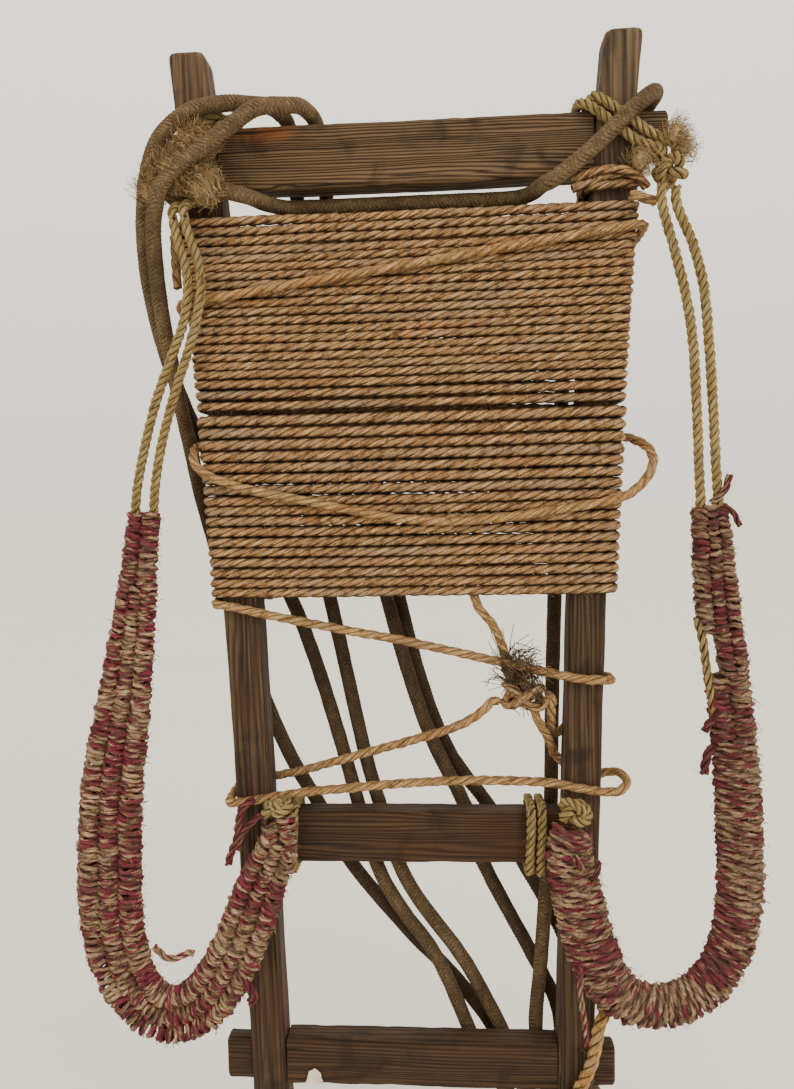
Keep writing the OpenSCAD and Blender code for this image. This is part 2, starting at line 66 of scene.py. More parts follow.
# Centre lines, in millimetres. A strap's points are (x, z, width).
ROUTES: dict[str, list[tuple[float, float, float]]] = {
    "winding_start": [(148, -21, 938.5), (163, -21.2, 942), (178, -21.2, 948),
        (192, -21.2, 951.5), (201, -21, 952.5), (204.5, -19.5, 952.5),
        (206.2, -16, 952), (207, 0, 951), (206.2, 16, 948.5), (204.5, 19.5, 947.5),
        (200, 21, 946.5), (180, 21, 944.5), (160, 21, 942.5)],
    "winding_stub": [(196, -29.5, 928), (206, -29.5, 926), (219, -28.5, 921)],
    "winding_tail": [(-213, -10, 914), (-212.5, -12, 900), (-211, -14, 884),
        (-210, -15, 866)],
    "diagonal_turn": [(0, 29.9, 869), (-100, 29.9, 857), (-193, 29.9, 848),
        (-200.1, 28, 847), (-205.2, 22.8, 846), (-207, 15.7, 845), (-207.6, 0, 845),
        (-207.1, -15.7, 846), (-205.3, -22.8, 847), (-200.1, -28, 848),
        (-193.1, -29.9, 849), (-100, -29.9, 862), (0, -29.9, 875), (100, -29.9, 889),
        (197, -29.9, 902), (204.2, -28, 902.8), (209.4, -22.8, 903.7),
        (211.4, -15.7, 904.5), (212.2, 0, 904), (211.3, 15.7, 903),
        (209.3, 22.8, 901.7), (204, 28, 900.3), (196.8, 29.9, 899), (100, 29.9, 884),
        (9.6, 29.9, 870)],
    "loose_turn": [(0, 29.9, 722), (-100, 29.9, 722), (-185.2, 29.9, 722.5),
        (-192.3, 28, 722.7), (-197.5, 22.8, 722.8), (-199.4, 15.7, 723),
        (-201, 0, 721), (-200, -16, 715), (-196, -26, 704), (-182, -30, 693),
        (-150, -30, 681), (-99, -30, 670), (-50, -30, 659), (-9, -30, 651),
        (45, -30, 648), (99, -30, 652), (150, -30, 659), (187, -31, 666),
        (207, -31, 680), (217, -24, 696), (217, -8, 710), (208, 9, 719),
        (200, 23, 722.5), (184, 29.9, 723), (100, 29.9, 722), (9.6, 29.9, 722)],
    "riser_rope": [(55, -8, 600), (56, -9.5, 590), (57.5, -12.5, 580), (60, -15.5, 571),
        (64, -16.5, 564),
        (74, -11, 551), (81, -8, 535), (87, -7.6, 519), (91.4, -10.5, 508),
        (92, -13, 504), (92, -13, 499.6)],
    "upper_cross_turn": [(-138, 21, 577), (-165, 21, 577), (-178.6, 21, 576.8),
        (-182.2, 19.6, 576.6), (-183.8, 16, 576.4), (-184.4, 0, 575.5),
        (-183.8, -16, 574.3), (-182.2, -19.6, 573.8), (-178.4, -21, 573),
        (-165, -21, 571), (-104, -21, 557), (-11, -21, 539), (80, -21, 518),
        (134, -21, 505.5), (158, -21, 501.5), (175.7, -21, 500.4), (179.3, -19.6, 500),
        (181, -16, 499.5), (181.7, 0, 498.5), (181, 16, 496), (179.3, 19.6, 494),
        (174.6, 21.2, 489.5), (163, 21.4, 477), (150, 21.5, 455), (142, 21.7, 443),
        (137, 21.4, 440), (133, 18.5, 441), (131, 11, 445), (128.5, 0, 455),
        (127, -11, 471), (127, -15.8, 484), (121.2, -16, 485)],
    "lower_cross_turn": [(78.6, -18, 481), (72, -18, 480.6), (58, -16.5, 467),
        (33, -13, 453), (-14, -4, 437), (-62, 6, 421), (-110, 14, 405),
        (-138, 21, 397), (-158, 21, 392), (-172.4, 21, 389), (-176, 19.6, 388),
        (-177.6, 16, 387.3), (-178.2, 0, 386), (-177.6, -16, 385.3),
        (-176, -19.6, 385), (-172.3, -21, 385.2), (-158, -21, 386.5),
        (-140, -21, 389.5), (-109, -21, 395), (-61, -21, 400), (32, -21, 407),
        (115, -21, 406), (150, -21, 400), (170, -21, 397), (184, -20, 396.5),
        (193, -14, 398.5), (197, -4, 401), (195, 8, 404), (186, 19, 402),
        (172, 21.4, 398), (152, 21.5, 401), (140, 21.6, 412), (135.6, 21.3, 417),
        (132, 18, 421), (130.5, 11, 428), (125, 0, 442), (117, -11, 457),
        (112, -15.5, 467), (111, -16, 474.4)],
    "left_outer": [(-203, -42, 918.4), (-201.6, -42, 909.6), (-198, -42, 895),
        (-193.6, -42, 878), (-191.8, -42, 860), (-196, -42, 833), (-206, -42, 806),
        (-224, -42, 762), (-237, -42, 718), (-245, -41, 685), (-248.4, -40, 661.8)],
    "left_inner": [(-193, -42, 920), (-191.6, -42, 911.2), (-187, -42, 898),
        (-181.6, -42, 880), (-180.2, -42, 860), (-184.4, -42, 835), (-193, -42, 806),
        (-209, -42, 762), (-222, -42, 718), (-228.6, -41, 685), (-231.4, -40, 659.6)],
    "right_inner": [(220.9, -42, 930.7), (219.8, -42, 924), (221, -42, 913),
        (225.6, -42, 895), (231, -42, 876), (241, -42, 835), (247, -42, 792),
        (250.5, -42, 723), (252, -41, 690), (254, -40, 656.8)],
    "right_outer": [(232.9, -42, 928.7), (231.8, -42, 922), (233.4, -42, 912),
        (238.6, -42, 899), (246.4, -42, 880), (255.6, -42, 843), (261, -42, 783),
        (264.5, -42, 723), (266.5, -41, 690), (269, -40, 658)],
    "left_tie_a": [(-193.14, -42, 921), (-193.9, -42, 925.4), (-193.2, -39.8, 930.2),
        (-192.2, -34.4, 934), (-191, -28, 936.8), (-190, -23, 941.5),
        (-189.2, -21.2, 950), (-184, -21.2, 975), (-170, -21.2, 1000),
        (-163, -21, 1007), (-156.5, -18.4, 1012.6), (-154, -8, 1014.8),
        (-154, 8, 1014.8), (-157, 18.7, 1012), (-163, 21, 1000)],
    "left_tie_b": [(-203.14, -42, 919.4), (-203.9, -42, 923.8), (-202.9, -39.8, 928.6),
        (-201.8, -34.4, 932.4), (-200.6, -28, 935.4), (-199.7, -23, 940.5),
        (-198.8, -21.2, 950), (-194.6, -21.2, 976), (-182.6, -21.2, 1001),
        (-175, -21.4, 1009.6), (-166.6, -20, 1015.4), (-163.7, -8, 1016.4),
        (-163.7, 8, 1016.4), (-166, 18.6, 1015), (-170, 21.4, 1008),
        (-175, 21.2, 996)],
    "right_tie_a": [(160, 21, 998), (156.6, 19, 1012), (155.6, 8, 1014.8),
        (155.6, -8, 1014.8), (159.6, -19, 1011.6), (166, -21.2, 1006.4),
        (174, -21.2, 1000.4), (188, -21.2, 989), (203, -21.2, 977.6),
        (215, -22, 971.6), (222.6, -23.8, 968.4), (224.2, -24, 965.4),
        (223.1, -24, 960.2)],
    "right_tie_b": [(175, 21.2, 999), (170, 21.4, 1010), (166.4, 18.6, 1016),
        (165.2, 6, 1016.8), (165.2, -8, 1016.8), (168, -20, 1016.6),
        (175.6, -21.4, 1012), (188, -21.2, 1003.6), (201, -21.2, 994),
        (216, -21.2, 983), (229, -21.8, 976), (236.4, -23.4, 971), (237.4, -24, 966),
        (236, -24, 958.2)],
    "lashing_outer": [(112.9, 38.5, 66), (104, 39, 69), (92, 40.5, 94), (76, 42, 122),
        (52, 42, 158), (24, 42, 192), (-11, 42, 228), (-69, 40, 300), (-98, 38, 358),
        (-127, 34, 412), (-158, 33, 490), (-188, 36, 590), (-209, 36, 670),
        (-219, 30, 730), (-225, 12, 790), (-227, -9, 840), (-225, -28, 880),
        (-221, -42, 915), (-214, -47.6, 940), (-205, -47.8, 953), (-190, -47.8, 966),
        (-172, -47.8, 977), (-155, -47.8, 989), (-132, -46, 1006), (-118, -42, 1012),
        (-104, -35, 1015), (-92, -24, 1019), (-86, -6, 1021), (-82, 12, 1019),
        (-80, 25, 1006), (-79, 34, 980), (-76, 41, 945), (-64, 43, 862),
        (-50, 47, 770), (-17, 57, 571), (23, 48, 431), (74, 46, 353), (106, 44, 297),
        (126, 44, 261), (145, 41, 222), (158, 34, 170), (159, 31, 125), (159, 30, 98),
        (159, 30, 88.9)],
    "lashing_middle": [(112.6, 23.5, 52), (104, 23.5, 52), (96, 24.5, 56),
        (82, 26, 76), (58, 27, 110), (19, 27, 205), (-20, 27, 262), (-44, 28, 310),
        (-71, 32, 410), (-98, 40, 500), (-126, 46, 574), (-165, 52, 640),
        (-200, 53, 705), (-226, 44, 765), (-238, 22, 820), (-241, -2, 870),
        (-238, -20, 908), (-233, -30, 938), (-228, -33.4, 962), (-219, -33.4, 988),
        (-205, -33.4, 1004), (-189, -33.4, 1014), (-170, -33.4, 1019),
        (-150, -33.4, 1020), (-132, -31, 1019), (-120, -22, 1021), (-113, -6, 1022),
        (-109, 13, 1020.5), (-107, 26, 1007), (-107, 33, 978), (-104, 40, 945),
        (-88, 42.5, 860), (-70, 42, 770), (-28, 42, 573), (9, 34, 445), (49, 32, 358),
        (63, 34, 306), (114, 40, 203), (136, 41, 155), (140, 39, 120), (140, 38, 98),
        (140, 38, 88.9)],
    "lashing_inner": [(112.6, 23.5, 73.5), (104, 23.5, 73.7), (98.5, 24.5, 82),
        (93, 26, 98), (85, 27, 125), (45, 27, 205), (0, 27, 268), (-22, 28, 310),
        (-36, 30, 358), (-53, 34, 420), (-85, 42, 573), (-128, 42, 770),
        (-158, 42, 905), (-170, 40, 930), (-184, 34, 946), (-195.5, 25, 948),
        (-203.8, 23.5, 948.5), (-208.8, 19, 948.5), (-210.6, 4, 948),
        (-211.2, -16, 947.5), (-210.4, -27, 947.3), (-203, -33.4, 947.2),
        (-188, -33.6, 947), (-166, -33.4, 945.5), (-150, -30, 943.5),
        (-138, -20, 942.4), (-128, -4, 942.4), (-114, 8, 942.4), (-98, 11, 942.4),
        (-50, 11, 942.4), (0, 11, 942.4), (50, 11, 942.4), (92, 11, 942.4),
        (108, 6, 942.4), (117, -6, 942.4), (123, -22, 942.4), (131, -32.6, 943),
        (149, -33.6, 955), (174, -33.6, 976), (195, -33.6, 996), (212, -31, 1010),
        (221, -18, 1018), (222, 0, 1019), (217, 18, 1014), (207, 31, 1000),
        (194, 39, 970), (176, 42, 935), (156, 42, 880), (145, 42, 740), (138, 40, 583),
        (134, 37.5, 471), (132.5, 36, 400), (131, 32, 365), (128, 28.5, 312),
        (124, 25, 271), (118, 24, 200), (113.5, 24, 152), (115, 24, 120),
        (123, 24, 101), (124, 24, 89)],
    "foot_rope": [(140, 23, 226), (153, 23, 222), (167.4, 23, 216), (172.4, 21, 213.4),
        (174.6, 16, 211), (178, 2, 204), (177, -11, 195), (173.8, -16.4, 188),
        (171.4, -21, 182), (167, -23.2, 172), (163.4, -23.4, 152), (157, -23.4, 130),
        (148, -23.4, 112), (141, -23.4, 101), (139, -23.4, 94), (139, -23.4, 89.1)],
    "left_strap": [(-240, 659.8, 29), (-245, 624, 31), (-251, 581, 36),
        (-266, 488, 49), (-280, 412, 57), (-286, 336, 60), (-286, 275, 60),
        (-273, 222, 56), (-243, 190, 53), (-204, 200, 51), (-172, 245, 49),
        (-146, 308, 45), (-130, 345, 38), (-124.4, 366, 32), (-126.6, 379.2, 30)],
    "right_strap": [(261.4, 656.6, 30), (264, 622, 34), (268, 575, 37), (279, 486, 38),
        (287, 395, 41), (288, 304, 41), (276, 250, 41), (248, 216, 41), (211, 206, 42),
        (178, 220, 44), (156, 265, 46), (144, 316, 45), (138.4, 348, 40),
        (138.8, 358, 38), (141, 370.8, 36)],
}


# ----------------------------------------------------------------- node trees


class Link:
    """What comes out of a node, usable in Python arithmetic."""

    def __init__(self, tree: "Tree", socket: bpy.types.NodeSocket) -> None:
        """Keep the tree and the socket."""
        self.tree = tree
        self.socket = socket

    def __add__(self, other: Value) -> "Link":
        """Add."""
        return self.tree.math("ADD", self, other)

    def __sub__(self, other: Value) -> "Link":
        """Subtract."""
        return self.tree.math("SUBTRACT", self, other)

    def __rsub__(self, other: Value) -> "Link":
        """Subtract from a number."""
        return self.tree.math("SUBTRACT", other, self)

    def __mul__(self, other: Value) -> "Link":
        """Multiply."""
        return self.tree.math("MULTIPLY", self, other)

    def __truediv__(self, other: Value) -> "Link":
        """Divide."""
        return self.tree.math("DIVIDE", self, other)

    __radd__ = __add__
    __rmul__ = __mul__


class Tree:
    """Makes nodes in a shader or geometry tree."""

    def __init__(self, node_tree: bpy.types.NodeTree) -> None:
        """Keep the tree that nodes go into."""
        self.node_tree = node_tree

    def node(self, kind: str, settings: dict | None = None,
             values: dict | None = None) -> bpy.types.Node:
        """Make one node.

        Args:
            kind: The node's type.
            settings: Its own settings, set first. "ramp" holds a colour ramp's stops.
            values: A number, colour, material or Link for each named or numbered input.

        Returns:
            The new node.
        """
        made = self.node_tree.nodes.new(kind)
        for name, value in (settings or {}).items():
            if name == "ramp":
                self._set_ramp(made.color_ramp, value)
            else:
                setattr(made, name, value)
        for key, value in (values or {}).items():
            for each in value if isinstance(value, list) else [value]:
                self.feed(made.inputs[key], each)
        return made

    def add(self, kind: str, settings: dict | None = None,
            values: dict | None = None, out: int | str = 0) -> Link:
        """Make one node and return one of its outputs.

        Args:
            kind: The node's type.
            settings: Its own settings.
            values: What its inputs get.
            out: The output's name or number.

        Returns:
            That output.
        """
        return Link(self, self.node(kind, settings, values).outputs[out])

    def feed(self, socket: bpy.types.NodeSocket, value: Value) -> None:
        """Give an input its value, or its link."""
        if isinstance(value, Link):
            self.node_tree.links.new(value.socket, socket)
        elif socket.type == "RGBA" and len(value) == 3:
            socket.default_value = (*value, 1.0)
        else:
            socket.default_value = value

    def math(self, operation: str, a: Value, b: Value = 0.0, c: Value = 0.0) -> Link:
        """Return a Math node's result."""
        return self.add("ShaderNodeMath", {"operation": operation}, {0: a, 1: b, 2: c})

    def vector(self, operation: str, a: Value, b: Value = (0.0, 0.0, 0.0)) -> Link:
        """Return a Vector Math node's vector."""
        return self.add("ShaderNodeVectorMath", {"operation": operation}, {0: a, 1: b})

    def scaled(self, a: Value, factor: Value) -> Link:
        """Return a vector times a number."""
        return self.add("ShaderNodeVectorMath", {"operation": "SCALE"},
                        {0: a, "Scale": factor})

    def combine(self, x: Value, y: Value, z: Value) -> Link:
        """Return a vector made from three numbers."""
        return self.add("ShaderNodeCombineXYZ", None, {0: x, 1: y, 2: z})

    def noise(self, at: Value, scale: float = 1.0, detail: float = 2.0,
              distortion: float = 0.0) -> Link:
        """Return smooth noise from 0 to 1 at a place."""
        return self.add("ShaderNodeTexNoise", None,
                        {"Vector": at, "Scale": scale, "Detail": detail,
                         "Distortion": distortion}, out=0)

    @staticmethod
    def _set_ramp(ramp: bpy.types.ColorRamp, stops: Sequence[tuple]) -> None:
        """Set a colour ramp's stops."""
        while len(ramp.elements) < len(stops):
            ramp.elements.new(0.5)
        for element, (place, colour) in zip(ramp.elements, stops):
            element.position = place
            element.color = (*colour, 1.0)


class Finish(Tree):
    """A material under construction: one principled shader and what feeds it."""

    def __init__(self, name: str, roughness: float = 0.85) -> None:
        """Start a material.

        Args:
            name: The material's name.
            roughness: The shader's roughness where nothing feeds it.
        """
        self.material = bpy.data.materials.new(name)
        self.material.use_nodes = True
        super().__init__(self.material.node_tree)
        self.shader = self.node_tree.nodes["Principled BSDF"]
        self.shader.inputs["Roughness"].default_value = roughness
        self.shader.inputs["Specular IOR Level"].default_value = 0.25

    def place(self) -> Link:
        """Return the object's own coordinates."""
        return self.add("ShaderNodeTexCoord", out="Object")

    def attribute(self, name: str, out: str = "Vector") -> Link:
        """Return an attribute of the mesh."""
        return self.add("ShaderNodeAttribute", {"attribute_name": name}, out=out)

    def ramp(self, factor: Value, stops: Sequence[tuple]) -> Link:
        """Return a colour picked along a ramp."""
        return self.add("ShaderNodeValToRGB", {"ramp": stops}, {0: factor}, out="Color")

    def mix(self, factor: Value, a: Value, b: Value, how: str = "MIX") -> Link:
        """Return two colours mixed."""
        return self.add("ShaderNodeMix", {"data_type": "RGBA", "blend_type": how},
                        {0: factor, 6: a, 7: b}, out=2)

    def ease(self, value: Value, low: float, high: float) -> Link:
        """Return 0 below low, 1 above high, and a smooth step between."""
        return self.add("ShaderNodeMapRange", {"interpolation_type": "SMOOTHSTEP"},
                        {0: value, 1: low, 2: high, 3: 0.0, 4: 1.0})

    def close(self, colour: Value, height: Value | None = None,
              depth: float = 0.0005, roughness: Value | None = None) -> bpy.types.Material:
        """Connect the shader.

        Args:
            colour: The base colour.
            height: What raises the surface, from 0 to 1.
            depth: How far it is raised, in metres.
            roughness: The roughness, where it varies.

        Returns:
            The finished material.
        """
        self.feed(self.shader.inputs["Base Color"], colour)
        if roughness is not None:
            self.feed(self.shader.inputs["Roughness"], roughness)
        if height is not None:
            bump = self.add("ShaderNodeBump", None,
                            {"Strength": 1.0, "Distance": depth, "Height": height})
            self.feed(self.shader.inputs["Normal"], bump)
        return self.material


@dataclass(frozen=True)
class RopeFinish:
    """Twisted fibre: streaks that follow the fibres, in three colours, with painted shade in
    its grooves and, where set, between turns.
    """

    name: str
    dark: Colour
    middle: Colour
    light: Colour
    grey: Colour = (0.24, 0.19, 0.135)
    russet: Colour = (0.33, 0.125, 0.038)
    # How far the grooves between strands are darkened: painted shade, with dirt.
    groove_dirt_and_shade: float = 0.85
    # How far the rope is darkened where its surface faces up or down, between neighbouring
    # turns: painted shade, with some dirt.
    crease: float = 0.0
    streak: float = 1500.0
    length: float = 60.0

    def make(self) -> bpy.types.Material:
        """Return the material."""
        f = Finish(self.name, 0.88)
        fibre = f.attribute("fibre")
        along = f.vector("MULTIPLY", fibre, (self.streak, self.streak, self.length))
        fine = f.noise(along, 1.0, 3.0)
        clumps = f.noise(f.vector("MULTIPLY", fibre, (420.0, 420.0, 24.0)), 1.0, 2.0)
        colour = f.ramp(fine * 0.62 + clumps * 0.38, [
            (0.36, self.dark), (0.50, self.middle), (0.64, self.light)])
        wide = f.vector("MULTIPLY", f.place(), (9.0, 45.0, 70.0))
        weather = f.ease(f.noise(wide, 1.0, 4.0), 0.46, 0.72)
        colour = f.mix(weather * 0.45, colour, self.grey)
        warm = f.ease(f.noise(f.vector("MULTIPLY", f.place(), (11.0, 50.0, 80.0)), 1.0, 3.0,
                              0.5), 0.54, 0.70)
        colour = f.mix(warm * 0.35, colour, self.russet)
        dirt = f.ease(f.noise(f.place(), 150.0, 3.0), 0.56, 0.68)
        colour = f.mix(dirt * 0.6, colour, self.dark)
        # Painted shade with dirt: where a strand faces in towards the rope's middle, in the
        # grooves between strands, the colour is darkened.
        groove = 1.0 - f.ease(f.attribute("facing", "Fac"), -0.2, 0.55)
        colour = f.mix(groove * self.groove_dirt_and_shade, colour, tuple(c * 0.35 for c in self.dark))
        # Painted shade between turns, with some dirt: where the normal points up or down, the
        # colour is darkened.
        if self.crease:
            split = f.add("ShaderNodeSeparateXYZ", None,
                          {0: f.add("ShaderNodeNewGeometry", out="Normal")}, out="Z")
            steep = f.ease(f.math("ABSOLUTE", split), 0.35, 0.88)
            colour = f.mix(steep * self.crease, colour, tuple(c * 0.3 for c in self.dark))
        return f.close(colour, fine * 0.7 + clumps * 0.3, 0.0006)


@dataclass(frozen=True)
class BraidFinish:
    """A felted braided sheath, with painted shade between its stitches and towards the back of
    the frame.
    """

    name: str
    dark: Colour
    light: Colour
    worn: Colour

    def make(self) -> bpy.types.Material:
        """Return the material."""
        f = Finish(self.name, 0.93)
        stitch = f.attribute("stitch", "Fac")
        fuzz = f.noise(f.place(), 1100.0, 4.0)
        clumps = f.noise(f.place(), 210.0, 2.0)
        # Painted shade: the low ground between stitches takes the darker end of the ramp.
        colour = f.ramp(stitch * 0.25 + fuzz * 0.50 + clumps * 0.30, [
            (0.30, self.dark), (0.58, self.light), (0.80, self.worn)])
        patch = f.ease(f.noise(f.place(), 14.0, 3.0), 0.45, 0.70)
        colour = f.mix(patch * 0.5, colour, self.dark)
        # Painted shade: the rope is darkened towards the back of the frame (+Y), where the runs
        # lie in shade.
        back = f.add("ShaderNodeSeparateXYZ", None, {0: f.place()}, out="Y")
        painted_back_shade = f.ease(back, 0.012, 0.036)
        colour = f.mix(painted_back_shade * 0.72, colour, tuple(c * 0.45 for c in self.dark))
        return f.close(colour, stitch * 0.3 + fuzz * 0.7, 0.0012)


@dataclass(frozen=True)
class StrapFinish:
    """Straw and faded dyed rag twisted together, with painted shade in its grooves and on the
    right strap.
    """

    name: str
    straw_dark: Colour = (0.060, 0.034, 0.020)
    straw: Colour = (0.28, 0.180, 0.100)
    straw_light: Colour = (0.58, 0.42, 0.27)
    rag_dark: Colour = (0.045, 0.008, 0.012)
    rag: Colour = (0.21, 0.030, 0.048)

    def make(self) -> bpy.types.Material:
        """Return the material."""
        f = Finish(self.name, 0.92)
        fibre = f.attribute("fibre")
        folds = f.noise(f.vector("MULTIPLY", fibre, (520.0, 520.0, 50.0)), 1.0, 3.0)
        fine = f.noise(f.vector("MULTIPLY", fibre, (1600.0, 1600.0, 120.0)), 1.0, 3.0)
        crease = f.noise(f.place(), 520.0, 3.0, 1.0)
        tone = folds * 0.40 + fine * 0.30 + crease * 0.30
        straw = f.ramp(tone, [
            (0.38, self.straw_dark), (0.50, self.straw), (0.64, self.straw_light)])
        rag = f.ramp(tone, [(0.38, self.rag_dark), (0.58, self.rag)])
        patch = f.noise(f.vector("MULTIPLY", fibre, (210.0, 210.0, 52.0)), 1.0, 2.0, 0.6)
        region = f.noise(f.place(), 21.0, 2.0)
        rag_here = f.ease(patch * 0.66 + region * 0.4 + crease * 0.06, 0.545, 0.585)
        colour = f.mix(rag_here, straw, rag)
        dirt = f.ease(f.noise(f.place(), 75.0, 4.0), 0.48, 0.66)
        colour = f.mix(dirt * 0.55, colour, (0.085, 0.052, 0.035))
        # Painted shade, not wear: the right strap (x above 50 mm) is darkened, as it lies in
        # shade.
        across = f.add("ShaderNodeSeparateXYZ", None, {0: f.place()}, out="X")
        worn = f.ease(across, 0.05, 0.20)
        colour = f.mix(worn * 0.30, colour, (0.050, 0.024, 0.018))
        # Painted shade: the grooves between the yarn's strands are darkened.
        groove = 1.0 - f.ease(f.attribute("facing", "Fac"), -0.3, 0.5)
        colour = f.mix(groove * 0.6, colour, (0.020, 0.010, 0.007))
        return f.close(colour, tone, 0.0014)


class Grain(Enum):
    """The row axis that a wooden piece's grain runs along, as its number."""

    ACROSS = 0
    UP = 2


@dataclass(frozen=True)
class WoodFinish:
    """Weathered softwood: hard rings stand proud of worn, dark soft wood."""

    name: str
    grain: Grain
    ring: float = 400.0
    hard: float = 0.62
    stain: Point | None = None
    dark: Colour = (0.008, 0.004, 0.002)
    brown: Colour = (0.071, 0.038, 0.017)
    pale: Colour = (0.142, 0.089, 0.045)
    red: Colour = (0.099, 0.034, 0.012)

    def make(self) -> bpy.types.Material:
        """Return the material."""
        f = Finish(self.name, 0.8)
        place = f.place()
        stretch = [38.0, 38.0, 38.0]
        stretch[self.grain.value] = 2.2
        slow = f.noise(f.vector("MULTIPLY", place, tuple(stretch)), 1.0, 2.0, 0.4)
        stretch = [420.0, 420.0, 420.0]
        stretch[self.grain.value] = 9.0
        fine = f.noise(f.vector("MULTIPLY", place, tuple(stretch)), 1.0, 4.0)
        split = f.add("ShaderNodeSeparateXYZ", None, {0: place}).socket.node
        axes = [Link(f, split.outputs[i]) for i in range(3)]
        if self.grain is Grain.ACROSS:
            height = axes[2] + axes[1] * 0.55 + axes[0] * 0.012
        else:
            height = axes[0] * 0.9 + axes[1] * 0.75 + axes[2] * 0.012
        phase = height * self.ring + slow * 8.0 + fine * 0.6
        wave = f.math("SINE", phase * TAU) * 0.5 + 0.5
        ridge = f.math("POWER", wave, 0.6)
        broad = f.noise(f.vector("MULTIPLY", place, tuple(s * 0.22 for s in stretch)),
                        1.0, 3.0)
        tone = ridge * self.hard + fine * (1.04 - self.hard) + broad * 0.35 - 0.17
        colour = f.ramp(tone, [
            (0.18, self.dark), (0.54, self.brown), (0.90, self.pale)])
        rusty = f.ease(f.noise(f.vector("MULTIPLY", place, (7.0, 7.0, 7.0)), 1.0, 3.0),
                       0.50, 0.68)
        colour = f.mix(rusty * 0.42, colour, self.red)
        if self.stain:
            away = f.vector("MULTIPLY", f.vector("SUBTRACT", place, tuple(
                c * MM for c in self.stain)), (22.0, 22.0, 60.0))
            far = f.add("ShaderNodeVectorMath", {"operation": "LENGTH"}, {0: away},
                        out="Value")
            spot = 1.0 - f.ease(far + slow * 0.5, 0.45, 1.1)
            colour = f.mix(spot * 0.75, colour, (0.31, 0.105, 0.035))
        # The stiles are made lighter towards their tops, above about 0.93 m.
        if self.grain is Grain.UP:
            lighter_at_top = f.ease(axes[2] + slow * 0.06, 0.93, 1.08)
            colour = f.mix(lighter_at_top * 0.30, colour,
                           f.ramp(tone, [(0.2, self.dark), (0.75, (0.24, 0.155, 0.082))]))
        grime = f.ease(f.noise(place, 24.0, 5.0, 0.8), 0.50, 0.74)
        colour = f.mix(grime * 0.62, colour, self.dark)
        stretch = [260.0, 260.0, 260.0]
        stretch[self.grain.value] = 4.5
        crack = f.ease(f.noise(f.vector("MULTIPLY", place, tuple(stretch)), 1.0, 1.0),
                       0.70, 0.735)
        colour = f.mix(crack * 0.85, colour, (0.010, 0.006, 0.004))
        height = ridge * 0.6 + fine * 0.45 - crack * 0.9
        return f.close(colour, height, 0.0013, 0.62 + fine * 0.3)


@dataclass(frozen=True)
class PlainFinish:
    """One colour with slight mottling, for paper and the floor."""

    name: str
    colour: Colour
    shade: Colour
    scale: float = 40.0

    def make(self) -> bpy.types.Material:
        """Return the material."""
        f = Finish(self.name, 0.9)
        mottle = f.noise(f.place(), self.scale, 4.0)
        colour = f.mix(f.ease(mottle, 0.45, 0.75), self.colour, self.shade)
        return f.close(colour, mottle, 0.0001)


# -------------------------------------------------------------- geometry trees


def applied(piece: bpy.types.Object, modifier: bpy.types.Modifier,
            **keep: bool) -> bpy.types.Object:
    """Replace an object's mesh by what a modifier makes of it.

    Args:
        piece: The object.
        modifier: Its modifier, which is removed.
        **keep: What else of the mesh is kept.

    Returns:
        The same object.
    """
    graph = bpy.context.evaluated_depsgraph_get()
    made = bpy.data.meshes.new_from_object(piece.evaluated_get(graph), depsgraph=graph,
                                           **keep)
    piece.modifiers.remove(modifier)
    old, piece.data = piece.data, made
    bpy.data.meshes.remove(old)
    return piece


